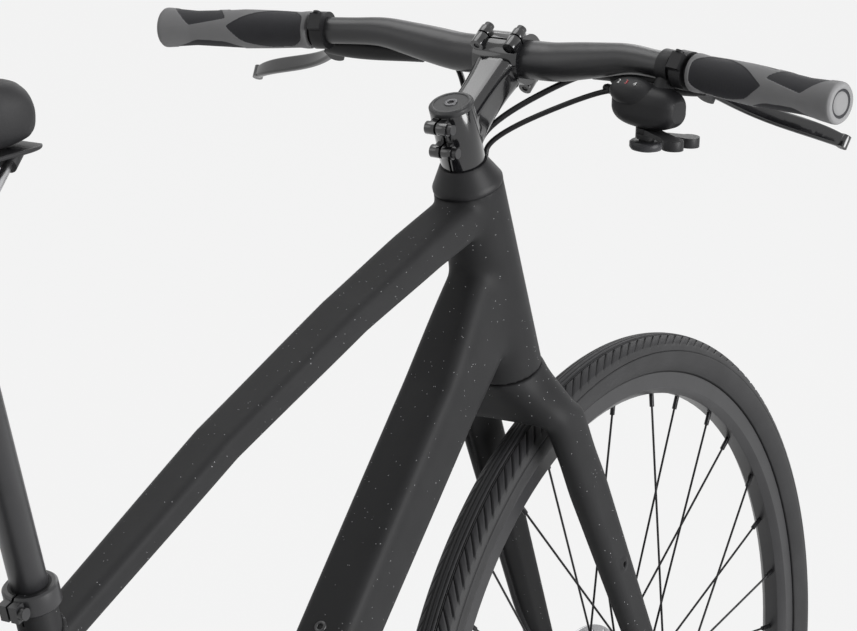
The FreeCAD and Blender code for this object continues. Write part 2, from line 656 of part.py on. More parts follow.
def dropout(side):
    """A rear dropout plate with its open axle slot, and the derailleur hanger on the right."""
    inner = rear_axle + LEFTWARD * (side * val.rear_hub_width / 2)
    plate = Part.makeCylinder(val.rear_dropout_radius, val.rear_dropout_thickness, inner, LEFTWARD * side)
    if side == RIGHT:
        hanger = hanger_point(inner)
        plate = plate.fuse(Part.makeCylinder(val.hanger_radius, val.rear_dropout_thickness, hanger, LEFTWARD * side))
        link = Part.makeBox(val.hanger_radius * 2, val.rear_dropout_thickness, val.hanger_drop)
        link.Placement = Placement(hanger + Vector(-val.hanger_radius, -val.rear_dropout_thickness, 0), Rotation())
        plate = plate.fuse(link)
    slot_radius = val.axle_radius + val.skewer_grip
    hole = Part.makeCylinder(slot_radius, 2 * val.rear_dropout_thickness, inner - LEFTWARD * (
        side * val.rear_dropout_thickness / 2), LEFTWARD * side)
    slot = Part.makeBox(2 * slot_radius, 2 * val.rear_dropout_thickness, 2 * val.rear_dropout_radius)
    middle = inner + LEFTWARD * (side * val.rear_dropout_thickness / 2)
    turn = Rotation(LEFTWARD, DROPOUT_SLOT_TURN)
    corner = Vector(-slot_radius, -val.rear_dropout_thickness, -2 * val.rear_dropout_radius)
    slot.Placement = Placement(middle + turn.multVec(corner), turn)
    return plate, hole.fuse(slot)


DROPOUT_SLOT_TURN = -35.0


def hanger_point(inner):
    return inner + Vector(val.hanger_forward - 2 * val.hanger_radius, 0, -val.hanger_drop)


def bracket_room():
    """The space of the bracket shell and of the cups that stand out of it."""
    width = 2 * val.bracket_width
    return Part.makeCylinder(val.bracket_shell_radius, width, bracket - LEFTWARD * (width / 2), LEFTWARD)


def make_chainstays():
    stays = []
    for side in (LEFT, RIGHT):
        plate, slot = dropout(side)
        stay = main_solid(chainstay(side).cut(bracket_room()).cut(wheel_room(rear_axle)))
        inner_face = hub_room(side)
        stay = stay.cut(inner_face).fuse(plate).cut(slot)
        if side == RIGHT:
            hanger = hanger_point(rear_axle + LEFTWARD * (side * val.rear_hub_width / 2))
            stay = stay.cut(Part.makeCylinder(val.hanger_bolt_radius, 2 * val.rear_hub_width, hanger - LEFTWARD * (
                val.rear_hub_width), LEFTWARD))
        stay = stay.cut(rack_thread(side))
        stays.append(main_solid(stay.removeSplitter()))
    node("chainstays", shaped("chainstays", Part.makeCompound(stays)))


def rack_thread(side):
    """The threaded rack eyelet behind and above the axle."""
    spot = rear_axle + Vector(-val.eyelet_depth, side * val.rear_hub_width / 2, 0)
    return Part.makeCylinder(val.eyelet_thread, 2 * val.rear_dropout_thickness, spot - LEFTWARD * (
        side * val.rear_dropout_thickness / 2), LEFTWARD * side)


def hub_room(side):
    """The space between the dropouts near the axle, which the stays keep clear of."""
    half = val.rear_hub_width / 2
    room = Part.makeCylinder(val.rotor_radius / 2, half, rear_axle, LEFTWARD * side)
    return room


def wheel_room(axle):
    """A drum around the tyre that keeps frame and fork clear of the wheel."""
    width = val.wheel_arch_width
    return Part.makeCylinder(tyre_radius + val.wheel_arch_gap, width, axle - LEFTWARD * (width / 2), LEFTWARD)


def seatstay(side):
    top = seat_top - seat_up * val.seatstay_top_drop
    half = val.rear_hub_width / 2 + val.rear_dropout_thickness / 2
    run = (rear_axle - top).normalize()
    square = upright_of(rear_axle, top)
    wires = []
    for along, out in SEATSTAY_PATH_SHARES:
        centre = mix(top, rear_axle, along) + LEFTWARD * (side * out * half)
        wires.append(rounded_section(centre, run.cross(square).normalize(), square, 2 * val.seatstay_radius,
                                     2 * val.seatstay_radius, ROUND_CORNER_SHARE))
    return loft(wires)


def skewer_room(axle):
    """The space of the axle's bolt heads outside the dropouts."""
    width = 2 * val.rear_hub_width
    return Part.makeCylinder(val.skewer_head_radius + val.moving_gap, width, axle - LEFTWARD * (width / 2), LEFTWARD)


def make_seatstays():
    stays = []
    for side in (LEFT, RIGHT):
        plate, slot = dropout(side)
        stay = seatstay(side).cut(seat_tube_solid()).cut(plate).cut(hub_room(side))
        stay = main_solid(stay.cut([chainstay(side), skewer_room(rear_axle)]))
        stays.append(stay.cut(Part.makeBox(val.wheelbase, val.seat_gap, val.wheelbase, Vector(
            -val.wheelbase, -val.seat_gap / 2, 0))))
    node("seatstays", shaped("seatstays", Part.makeCompound([main_solid(stay) for stay in stays])))


def make_seat_clamp():
    inner = dim.seat_tube_radius + dim.seat_gap
    ring = turned("clamp_ring", [
        (inner, -dim.collar_height), (dim.collar_radius - dim.collar_lip, -dim.collar_height),
        (dim.collar_radius, -dim.collar_height + dim.collar_lip), (dim.collar_radius, -dim.collar_lip),
        (dim.collar_radius - dim.collar_lip, 0), (inner, 0)], seat_place)
    ears = box("clamp_ears", dim.collar_ear_length, dim.collar_ear_width, dim.collar_ear_height, seat_place.multiply(
        Placement(Vector(-val.collar_radius - val.collar_ear_length * EAR_OUT_SHARE, -val.collar_ear_width / 2,
                         -(val.collar_height + val.collar_ear_height) / 2), Rotation())))
    slot = box("clamp_slot", dim.collar_radius * 2, dim.relief_slot_width, dim.collar_height, seat_place.multiply(
        Placement(Vector(-val.collar_radius * 2 - val.post_radius / 2, -val.relief_slot_width / 2, -val.collar_height),
                  Rotation())))
    place = seat_place.multiply(across_frame(Vector(-val.collar_radius - val.collar_ear_length * EAR_BOLT_SHARE,
                                                    -val.collar_ear_width / 2, -val.collar_height / 2)))
    hole = cylinder("clamp_hole", dim.clamp_bolt_radius + dim.seat_gap, dim.collar_ear_width, place)
    collar = cut("clamp_collar", cut("clamp_split", fuse("clamp_blank", ring, ears), slot), hole)
    bolt = turned("clamp_bolt", [
        (0, 0), (dim.clamp_bolt_radius, 0), (dim.clamp_bolt_radius, dim.collar_ear_width), (0, dim.collar_ear_width)],
        place)
    head = cylinder("clamp_bolt_head", dim.clamp_bolt_head, dim.clamp_bolt_head_height, place.multiply(
        Placement(Vector(0, 0, -val.clamp_bolt_head_height), Rotation())))
    node("seat_clamp", group("seat_clamp", collar, fuse("clamp_screw", bolt, head)))


EAR_OUT_SHARE = 0.72
EAR_BOLT_SHARE = 0.26

# Fork and headset

LEG_STATION_SHARES = (0.105, 0.2, 0.45, 0.75, 0.97)
CROWN_SHOULDER_SHARES = ((0.0, 0.0, 0.0), (0.34, 0.34, 0.3), (0.7, 0.8, 0.75), (1.0, 1.0, 1.0))
EYELET_SHARE = 0.51
CLIP_SHARE = 0.36
HOSE_SHARES = (0.145, 0.3, 0.5, 0.72)


def leg_station(side, share):
    """Centre, width and depth of a fork leg at a share of the way from the head tube to the axle."""
    out = mix(val.leg_top_spread, val.leg_bottom_spread, share)
    centre = in_steer(val.fork_rake * share, side * out, -val.head_tube_length - val.fork_length * share)
    width = mix(val.leg_top_width, val.leg_bottom_width, share)
    return centre, width, mix(val.leg_top_depth, val.leg_bottom_depth, share)


def fork_leg(side):
    wires = []
    for share in LEG_STATION_SHARES:
        centre, width, depth = leg_station(side, share)
        wires.append(rounded_section(centre, LEFTWARD, steer_forward, width, depth, TUBE_CORNER_SHARES["round"]))
    foot = front_axle + LEFTWARD * (side * val.front_hub_width / 2)
    plate = Part.makeCylinder(val.dropout_radius, val.front_dropout_thickness, foot, LEFTWARD * side)
    centre, width, depth = leg_station(side, EYELET_SHARE)
    outer = centre + LEFTWARD * (side * (width / 2 + val.eyelet_stand))
    boss = Part.makeCylinder(val.eyelet_boss, val.eyelet_depth, outer, LEFTWARD * -side)
    thread = Part.makeCylinder(val.eyelet_thread, val.eyelet_depth, outer, LEFTWARD * -side)
    return loft(wires).fuse(plate).fuse(boss).cut(thread)


def fork_crown():
    top = 2 * val.head_bottom_radius
    wires = []
    for drop, spread, deep in CROWN_SHOULDER_SHARES:
        height = -val.head_tube_length - val.crown_gap - (val.crown_height - val.crown_gap) * drop
        wires.append(rounded_section(
            in_steer(0, 0, height), LEFTWARD, steer_forward, mix(top, val.crown_width, spread),
            mix(top, val.crown_depth, deep), TUBE_CORNER_SHARES["round"]))
    return loft(wires)


def axle_slot(axle, thickness):
    """The open slot that lets an axle drop out downwards."""
    radius = val.axle_radius + val.skewer_grip
    half = val.front_hub_width
    hole = Part.makeCylinder(radius, 2 * half, axle - LEFTWARD * half, LEFTWARD)
    slot = Part.makeBox(2 * radius, 2 * half, thickness)
    slot.Placement = Placement(axle - Vector(radius, half, thickness), Rotation())
    return hole.fuse(slot)


def make_fork():
    base = in_steer(0, 0, -val.head_tube_length - val.crown_height / 2)
    top = val.cover_height + val.stem_clamp_height - val.steerer_top_gap
    steerer = round_bar(base, in_steer(0, 0, top), val.steerer_radius)
    race = round_bar(base, in_steer(0, 0, val.lower_bearing_height - val.head_tube_length),
                     val.lower_bearing_bore - val.shaft_fit)
    shape = fork_crown().fuse([steerer, race, fork_leg(LEFT), fork_leg(RIGHT)])
    hub_drum = Part.makeCylinder(2 * val.dropout_radius, val.front_hub_width, front_axle - LEFTWARD * (
        val.front_hub_width / 2), LEFTWARD)
    bore = round_bar(base, in_steer(0, 0, top + val.stem_clamp_height), val.steerer_radius - val.steerer_wall)
    shape = shape.cut([wheel_room(front_axle), hub_drum, bore, axle_slot(front_axle, val.leg_top_depth)])
    node("fork", shaped("fork", main_solid(shape)))


def port_run(knee_forward, knee_out, knee_height, turn):
    """The end of a line that comes under the stem and bends down through the cover at an angle from its front."""
    inner = val.hose_port_circle * math.cos(math.radians(turn))
    across = val.hose_port_circle * math.sin(math.radians(turn))
    return [in_steer(knee_forward, knee_out, knee_height), in_steer(inner, across, val.cover_height / 2),
            in_steer(inner, across, -val.hose_end_depth)]


def hose_points(side):
    """The run of a brake hose from its lever into the headset cover: the right one in the middle, the left beside it."""
    start, away = boot_end(side)
    lead = [start, start + away * val.hose_lead]
    if side == RIGHT:
        return lead + port_run(val.middle_knee_forward, 0, val.middle_knee_height, 0)
    return lead + port_run(val.hose_knee_forward, val.hose_knee_out, val.hose_knee_height, val.hose_port_angle)


def housing_points():
    """The run of the shift housing from the shifter into the headset cover, on its right side."""
    start, away = shifter_boot_end()
    return [start, start + away * val.hose_lead] + port_run(
        val.hose_knee_forward, -val.hose_knee_out, val.hose_knee_height, -val.hose_port_angle)


def make_headset_cover():
    bore = dim.steerer_radius + dim.seat_gap
    spigot = dim.upper_bearing_bore - dim.shaft_fit
    blank = turned("cover_blank", [
        (bore, -dim.cover_spigot), (spigot, -dim.cover_spigot), (spigot, dim.moving_gap),
        (dim.cover_bottom_radius, dim.moving_gap), (dim.cover_bottom_radius, dim.cover_lip),
        (dim.cover_top_radius, dim.cover_height), (bore, dim.cover_height)], steer)
    ports = [hose(hose_points(side)[2:], val.hose_bend, val.hose_radius + val.port_radius_gap) for side in (LEFT, RIGHT)]
    ports.append(hose(housing_points()[2:], val.hose_bend, val.housing_radius + val.port_radius_gap))
    tool = shaped("cover_ports", ports[0].fuse(ports[1:]))
    node("headset_cover", cut("headset_cover", blank, tool))


def make_brake_hoses():
    lines = [hose(hose_points(side), val.hose_bend, val.hose_radius) for side in (LEFT, RIGHT)]
    lower = [behind_leg(share) for share in HOSE_SHARES]
    caliper_top = front_caliper_place().multVec(Vector(val.caliper_length / 2 + val.seat_gap, 0, val.caliper_depth / 2))
    lower.append(caliper_top + steer_up * val.hose_lead)
    lower.append(caliper_top)
    lines.append(hose(lower, 2 * val.hose_bend, val.hose_radius))
    spot = behind_leg(CLIP_SHARE)
    run = (behind_leg(HOSE_SHARES[2]) - behind_leg(HOSE_SHARES[1])).normalize()
    start = spot - run * (val.clip_width / 2)
    clip = Part.makeCylinder(val.hose_radius + val.clip_wall, val.clip_width, start, run)
    lines.append(clip.cut(Part.makeCylinder(val.hose_radius + val.seat_gap, val.clip_width, start, run)))
    node("brake_hoses", shaped("brake_hoses", Part.makeCompound(lines)))


def behind_leg(share):
    """A point behind the left fork leg where the front hose is clipped."""
    centre, width, depth = leg_station(LEFT, share)
    stand_off = depth / 2 + val.hose_radius + val.clip_wall + val.seat_gap
    return centre - steer_forward * stand_off


def make_shift_housing():
    line = hose(housing_points(), val.hose_bend, val.housing_radius)
    node("shift_cable_housing", shaped("shift_cable_housing", line))


# Stem, top cap and handlebar

stem_base = in_steer(0, 0, val.cover_height + val.stem_clamp_height / 2)
bar_centre = in_steer(val.stem_reach, 0, val.stem_bar_height)
stem_run = (bar_centre - stem_base).normalize()
stem_square = upright_of(stem_base, bar_centre)
stem_place = frame_from(bar_centre, stem_run, LEFTWARD)
STEM_BODY_SHARES = ((0.08, 1.1, 1.12), (0.45, 1.0, 0.98), (0.8, 1.18, 1.02))
FACE_TOWER_SHARE = 0.62


def stem_body():
    wires = []
    for along, wide, high in STEM_BODY_SHARES:
        wires.append(rounded_section(mix(stem_base, bar_centre, along), LEFTWARD, stem_square, val.stem_width * wide,
                                     val.stem_height * high, TUBE_CORNER_SHARES["flat"]))
    return loft(wires)


def across_bar(radius, width):
    return Part.makeCylinder(radius, width, bar_centre - LEFTWARD * (width / 2), LEFTWARD)


def in_stem(forward, left, height):
    return stem_place.multVec(Vector(forward, left, height))


def stem_block(start, length, width, height):
    """A block in the stem's own directions, centred across and in height on the bar."""
    block = Part.makeBox(length, width, height)
    block.Placement = stem_place.multiply(Placement(Vector(start, -width / 2, -height / 2), Rotation()))
    return block


def tower_spots():
    out = (val.bar_clamp_width - 2 * val.stem_tower_radius) / 2
    return [(side * out, lift * val.stem_tower_offset) for side in (LEFT, RIGHT) for lift in (1, -1)]


def towers(start, length, radius):
    solids = []
    for out, lift in tower_spots():
        solids.append(round_bar(in_stem(start, out, lift), in_stem(start + length, out, lift), radius))
    return solids


def make_stem():
    ring = val.bar_clamp_radius + val.bar_clamp_wall
    bottom = val.cover_height + val.seat_gap
    clamp = round_bar(in_steer(0, 0, bottom), in_steer(0, 0, val.cover_height + val.stem_clamp_height),
                      val.stem_clamp_radius)
    depth = 2 * val.stem_tower_radius
    start = -depth - val.faceplate_gap / 2
    shape = clamp.fuse([stem_body(), across_bar(ring, val.bar_clamp_width)] + pinch_barrels() + towers(
        start, depth, val.stem_tower_radius))
    slot = Part.makeBox(2 * val.stem_clamp_radius, val.pinch_slot, 2 * val.stem_clamp_height)
    slot.Placement = steer.multiply(Placement(Vector(-2 * val.stem_clamp_radius, -val.pinch_slot / 2, 0), Rotation()))
    steerer = round_bar(in_steer(0, 0, 0), in_steer(0, 0, 2 * val.stem_clamp_height), val.steerer_radius + val.seat_gap)
    front = stem_block(-val.faceplate_gap / 2, 2 * ring, 2 * val.bar_clamp_width, 2 * val.stem_tower_offset + 2 * ring)
    tools = [slot, steerer, front, across_bar(val.bar_clamp_radius + val.seat_gap, 2 * val.bar_clamp_width)]
    tools += towers(start - depth, 2 * depth, val.stem_bolt_radius + val.seat_gap)
    tools += [pinch_bolt(height, val.seat_gap) for height in (val.pinch_bolt_low, val.pinch_bolt_high)]
    node("stem", shaped("stem", main_solid(shape.cut(tools))))


def pinch_barrels():
    """The round bosses of the two clamp bolts, each on a web that runs to the clamp."""
    middle = -val.stem_clamp_radius - val.pinch_ear_length / 2
    half = val.pinch_ear_width / 2
    solids = []
    for height in (val.pinch_bolt_low, val.pinch_bolt_high):
        solids.append(round_bar(in_steer(middle, -half, height), in_steer(middle, half, height), val.pinch_barrel_radius))
        web = Part.makeBox(-middle, val.pinch_web_width, 2 * val.pinch_barrel_radius)
        web.Placement = steer.multiply(Placement(Vector(
            middle, -val.pinch_web_width / 2, height - val.pinch_barrel_radius), Rotation()))
        solids.append(web)
    return solids


def pinch_bolt(height, gap):
    middle = -val.stem_clamp_radius - val.pinch_ear_length / 2
    half = val.pinch_ear_width / 2
    return round_bar(in_steer(middle, -half, height), in_steer(middle, half, height), val.stem_bolt_radius + gap)


def make_faceplate():
    ring = val.bar_clamp_radius + val.bar_clamp_wall
    length = val.stem_tower_radius * 2 * FACE_TOWER_SHARE
    shape = across_bar(ring, val.bar_clamp_width).fuse(towers(
        val.faceplate_gap / 2, length, val.stem_tower_radius))
    back = stem_block(val.faceplate_gap / 2 - 2 * ring, 2 * ring, 2 * val.bar_clamp_width,
                      2 * val.stem_tower_offset + 2 * ring)
    window = stem_block(0, 2 * ring, val.faceplate_window, 2 * val.bar_clamp_radius * FACE_WINDOW_SHARE)
    bore = across_bar(val.bar_clamp_radius + val.seat_gap, 2 * val.bar_clamp_width)
    holes = towers(0, 2 * ring, val.stem_bolt_radius + val.seat_gap)
    holes += towers(val.faceplate_gap / 2 + length, 2 * ring, val.stem_bolt_head + val.moving_gap)
    node("stem_faceplate", shaped("stem_faceplate", main_solid(shape.cut([back, window, bore] + holes))))


FACE_WINDOW_SHARE = 0.8


def make_stem_bolts():
    tower = val.stem_tower_radius * 2
    face = val.faceplate_gap / 2 + tower * FACE_TOWER_SHARE + val.seat_gap
    bolts = []
    shafts = towers(-tower, tower + face, val.stem_bolt_radius)
    for shaft, head in zip(shafts, towers(face, val.stem_bolt_head_height, val.stem_bolt_head)):
        bolts.append(shaft.fuse(head))
    middle = -val.stem_clamp_radius - val.pinch_ear_length / 2
    outer = -val.pinch_ear_width / 2 - val.seat_gap
    for height in (val.pinch_bolt_low, val.pinch_bolt_high):
        head = round_bar(in_steer(middle, outer - val.stem_bolt_head_height, height), in_steer(middle, outer, height),
                         val.stem_bolt_head)
        shaft = round_bar(in_steer(middle, outer, height), in_steer(middle, val.pinch_ear_width / 2, height),
                          val.stem_bolt_radius)
        bolts.append(head.fuse(shaft))
    node("stem_bolts", shaped("stem_bolts", Part.makeCompound(bolts)))


def make_top_cap():
    bottom = dim.cover_height + dim.stem_clamp_height + dim.seat_gap
    top = bottom + dim.cap_height
    bolt_hole = dim.clamp_bolt_radius + dim.seat_gap
    bevel = dim.cap_height / 4
    cap = turned("cap_disc", [
        (bolt_hole, bottom), (dim.cap_radius, bottom), (dim.cap_radius, top - bevel), (dim.cap_radius - bevel, top),
        (dim.cap_bolt_head + dim.seat_gap, top), (dim.cap_bolt_head + dim.seat_gap, bottom + bevel),
        (bolt_hole, bottom + bevel)], steer)
    tip = bottom - dim.cap_bolt_length
    bolt = turned("cap_bolt", [
        (0, tip), (dim.clamp_bolt_radius, tip), (dim.clamp_bolt_radius, bottom + bevel + dim.seat_gap),
        (dim.cap_bolt_head, bottom + bevel + dim.seat_gap), (dim.cap_bolt_head, top), (0, top)], steer)
    inside = dim.steerer_radius - dim.steerer_wall - dim.seat_gap
    nut = turned("star_nut", [
        (bolt_hole, tip), (inside, tip), (inside, tip + dim.star_nut_height), (bolt_hole, tip + dim.star_nut_height)],
        steer)
    node("top_cap", group("top_cap", cap, bolt, nut))


def bar_corners(side):
    """The straight runs of one half of the handlebar, from the middle outward."""
    spots = ((0, 0, 0), (0, val.bar_centre_straight, 0), (-val.bar_bend_back, val.bar_bend_at, val.bar_rise),
             (-val.bar_end_back, val.bar_half_width, val.bar_end_rise))
    return [bar_centre + Vector(forward, side * out, up) for forward, out, up in spots]


def bar_axis(side):
    """The outer end of the bar and the outward direction of its grip section."""
    corners = bar_corners(side)
    return corners[3], (corners[3] - corners[2]).normalize()


def bar_point(side, out):
    """The point of the grip section's axis at a distance out from the bike's middle plane."""
    end, away = bar_axis(side)
    return end - away * ((val.bar_half_width - out) / abs(away.y))


def bar_radius(out, wall):
    start, stop = val.bar_centre_straight, val.bar_taper_end
    share = min(max((out - start) / (stop - start), 0), 1)
    smooth = share * share * (3 - 2 * share)
    return mix(val.bar_clamp_radius, val.bar_grip_radius, smooth) - wall


BAR_LOFT_COUNT = 13


def half_bar(wall):
    """One half of the bar: a straight middle, a bent taper and a straight grip end."""
    path = rounded_path(bar_corners(LEFT), val.bar_bend_radius)
    points = path.discretize(Number=BAR_LOFT_COUNT * BAR_LOFT_COUNT)
    start, stop = val.bar_centre_straight * BEND_ROOM_SHARE, val.bar_taper_end
    away = bar_axis(LEFT)[1]
    wires = [round_section(bar_centre + LEFTWARD * start, LEFTWARD, val.bar_clamp_radius - wall)]
    for index in range(1, BAR_LOFT_COUNT):
        out = mix(start, stop, index / BAR_LOFT_COUNT)
        near = min(range(1, len(points) - 1), key=lambda spot: abs(points[spot].y - out))
        run = points[near + 1] - points[near - 1]
        wires.append(round_section(points[near], run, bar_radius(points[near].y, wall)))
    last = bar_point(LEFT, stop)
    wires.append(round_section(last, away, val.bar_grip_radius - wall))
    end = bar_point(LEFT, val.bar_half_width - val.grip_cap - val.seat_gap)
    middle = Part.makeCylinder(val.bar_clamp_radius - wall, start, bar_centre, LEFTWARD)
    return middle.fuse([loft(wires), round_bar(last, end, val.bar_grip_radius - wall)])


def make_handlebar():
    half = half_bar(0).cut(half_bar(val.bar_wall))
    whole = half.fuse(half.mirror(ORIGIN, LEFTWARD)).removeSplitter()
    node("handlebar", shaped("handlebar", main_solid(whole)))


def make_grip(name, side):
    end, away = bar_axis(side)
    bore = dim.bar_grip_radius + dim.seat_gap
    length, cap = dim.grip_length, dim.grip_cap
    outline = [
        (bore, 0), (dim.grip_inner_radius, 0), (dim.grip_inner_radius, dim.grip_flange),
        (dim.grip_waist_radius, dim.grip_flange * 2), (dim.grip_belly_radius, length * GRIP_BELLY_SHARE),
        (dim.grip_waist_radius, length * GRIP_WAIST_SHARE), (dim.grip_outer_radius, length - cap),
        (dim.grip_outer_radius, length - cap / 4), (dim.grip_outer_radius - cap / 4, length), (0, length),
        (0, length - cap), (bore, length - cap)]
    place = Placement(end - away * val.grip_length, Rotation(UP, away))
    node(name, turned(name, outline, place))


GRIP_BELLY_SHARE = 0.45
GRIP_WAIST_SHARE = 0.78


# Brake levers, built for the left hand and mirrored for the right

LEVER_BODY_SHARES = ((0.0, 0.9), (0.12, 1.0), (0.6, 0.92), (1.0, 0.66))
LEVER_BLADE_SHARES = ((0.05, 0.05, 0.72, 1.25), (0.3, 0.2, 0.85, 1.05), (0.52, 0.42, 1.0, 0.95),
                      (0.66, 0.64, 1.05, 0.9), (0.8, 0.84, 1.0, 0.95), (1.0, 1.0, 0.8, 1.1))


def control_place():
    """The left lever's own directions: X towards the lever, Y outward along the bar."""
    end, away = bar_axis(LEFT)
    level = (FORWARD - away * FORWARD.dot(away)).normalize()
    forward = Rotation(away, val.control_droop).multVec(level)
    return frame_from(bar_point(LEFT, val.band_centre), forward, away)


def in_control(forward, out, up):
    return control_place().multVec(Vector(forward, out, up))


def flip(point):
    return Vector(point.x, -point.y, point.z)


def lever_body_end():
    return in_control(val.lever_body_forward, -val.lever_body_length, -val.lever_body_drop)


def boot_end(side):
    """The inboard end of a lever's hose boot and the direction in which the hose leaves it."""
    start = in_control(val.lever_body_forward, 0, 0)
    end = lever_body_end()
    away = (end - start).normalize()
    tip = end + away * (val.boot_length + val.seat_gap)
    return (tip, away) if side == LEFT else (flip(tip), flip(away))


def control_block(start, size):
    block = Part.makeBox(*size)
    block.Placement = control_place().multiply(Placement(start, Rotation()))
    return block


def control_bar(start, end, radius):
    return round_bar(in_control(*start), in_control(*end), radius)


def lever_housing():
    half_band = val.band_width / 2
    band = control_bar((0, -half_band, 0), (0, half_band, 0), val.band_radius)
    start, end = in_control(val.lever_body_forward, half_band, 0), lever_body_end()
    wires = [round_section(mix(start, end, along), end - start, val.lever_body_radius * wide)
             for along, wide in LEVER_BODY_SHARES]
    away = (end - start).normalize()
    boot = round_bar(end, end + away * val.boot_length, val.boot_radius)
    neck = control_block(Vector(val.bar_grip_radius, -half_band, -val.lever_hub_radius),
                         (val.lever_body_forward - val.bar_grip_radius, val.band_width, 2 * val.lever_hub_radius))
    half = val.lever_hub_height / 2 + val.moving_gap
    tall = half + val.lever_ear_height
    pivot = (val.lever_pivot_forward, val.lever_pivot_out)
    cheek = control_block(Vector(val.lever_body_forward, pivot[1] - val.lever_hub_radius, -tall),
                          (pivot[0] - val.lever_body_forward, 2 * val.lever_hub_radius, 2 * tall))
    ear = control_bar((*pivot, -tall), (*pivot, tall), val.lever_hub_radius)
    shape = band.fuse([loft(wires), boot, neck, cheek, ear, band_ear()])
    room = control_bar((*pivot, -half), (*pivot, half), val.lever_hub_radius + val.moving_gap)
    swing = control_block(Vector(pivot[0] - val.moving_gap, pivot[1] - val.lever_hub_radius - val.moving_gap, -half),
                          (val.lever_body_length, val.lever_body_length, 2 * half))
    bar_room = control_bar((0, -val.lever_out, 0), (0, val.lever_out, 0), val.bar_grip_radius + val.seat_gap)
    shape = main_solid(shape.cut([room, swing, bar_room, band_bolt_hole()]))
    pin = control_bar((*pivot, -tall), (*pivot, tall), val.lever_pin_radius)
    return shape.fuse(pin)


def band_ear():
    """The lug under the clamp band that its bolt draws together."""
    return control_block(Vector(-val.band_radius - val.band_ear / 2, -val.band_width / 2, -val.band_ear),
                         (val.band_ear, val.band_width, 2 * val.band_ear))


def band_bolt(radius, start, length):
    middle = -val.band_radius - val.band_ear * BAND_BOLT_SHARE
    return control_bar((middle, 0, start), (middle, 0, start + length), radius)


BAND_BOLT_SHARE = 0.15


def band_bolt_hole():
    return band_bolt(val.band_bolt_radius + val.seat_gap, -2 * val.band_ear, 4 * val.band_ear)


def band_screw():
    head = band_bolt(val.band_bolt_head, val.band_ear + val.seat_gap, val.band_bolt_radius)
    return head.fuse(band_bolt(val.band_bolt_radius, -val.band_ear, 2 * val.band_ear + val.band_bolt_radius))


def lever_blade():
    """The lever: a hub on the pivot pin and a blade that swings out to a curled tip."""
    half = val.lever_hub_height / 2
    pivot = (val.lever_pivot_forward, val.lever_pivot_out)
    hub = control_bar((*pivot, -half), (*pivot, half), val.lever_hub_radius)
    spots = []
    for along, out, deep, thick in LEVER_BLADE_SHARES:
        spots.append((in_control(mix(pivot[0], val.lever_reach, along), mix(pivot[1], val.lever_out, out), 0),
                      val.lever_depth * deep, val.lever_thickness * thick))
    upward = control_place().Rotation.multVec(UP)
    wires = []
    for index, (centre, deep, thick) in enumerate(spots):
        run = spots[min(index + 1, len(spots) - 1)][0] - spots[max(index - 1, 0)][0]
        across = run.cross(upward).normalize()
        wires.append(rounded_section(centre, across, upward, thick, deep, TUBE_CORNER_SHARES["soft"]))
    tip = spots[-1][0]
    knob = Part.makeCylinder(val.lever_thickness * LEVER_TIP_SHARE, spots[-1][1], tip - upward * (spots[-1][1] / 2),
                             upward)
    shape = hub.fuse([loft(wires), knob])
    bore = control_bar((*pivot, -half), (*pivot, half), val.lever_pin_radius + val.shaft_fit)
    return main_solid(shape.cut(bore))


LEVER_TIP_SHARE = 0.75


def make_brake_levers():
    housing = shaped("left_housing", Part.makeCompound([lever_housing(), band_screw()]))
    blade = shaped("left_blade", lever_blade())
    node("left_brake_housing", housing)
    node("left_brake_lever", blade)
    node("right_brake_housing", mirrored("right_housing", housing))
    node("right_brake_lever", mirrored("right_blade", blade))


# Shifter, on the right side only

POD_SHARES = ((-0.5, 0.5), (-0.42, 0.78), (-0.15, 1.0), (0.2, 0.98), (0.42, 0.74), (0.5, 0.42))
SHIFT_PADDLE_TURN = 66.0
RELEASE_PADDLE_TURN = 118.0


def pod_place():
    """The shifter's own directions at the middle of its housing: Y runs inboard along the bar."""
    end, away = bar_axis(RIGHT)
    level = (FORWARD - away * FORWARD.dot(away)).normalize()
    place = frame_from(bar_point(RIGHT, val.pod_centre), level, -away)
    return place.multiply(Placement(Vector(-val.pod_back, 0, -val.pod_drop), Rotation()))


def in_pod(forward, inboard, up):
    return pod_place().multVec(Vector(forward, inboard, up))


def shifter_boot_end():
    start, away = shifter_boot()
    return start + away * (val.shifter_boot_length + val.seat_gap), away


def shifter_boot():
    start = in_pod(val.pod_depth * POD_BOOT_SHARE, val.pod_length * POD_BOOT_SHARE * 2, val.pod_height * POD_BOOT_LIFT_SHARE)
    away = (in_pod(val.pod_depth, 2 * val.pod_length, val.pod_height * POD_BOOT_LIFT_SHARE) - start).normalize()
    return start, away


POD_BOOT_SHARE = 0.2
POD_BOOT_LIFT_SHARE = 0.08


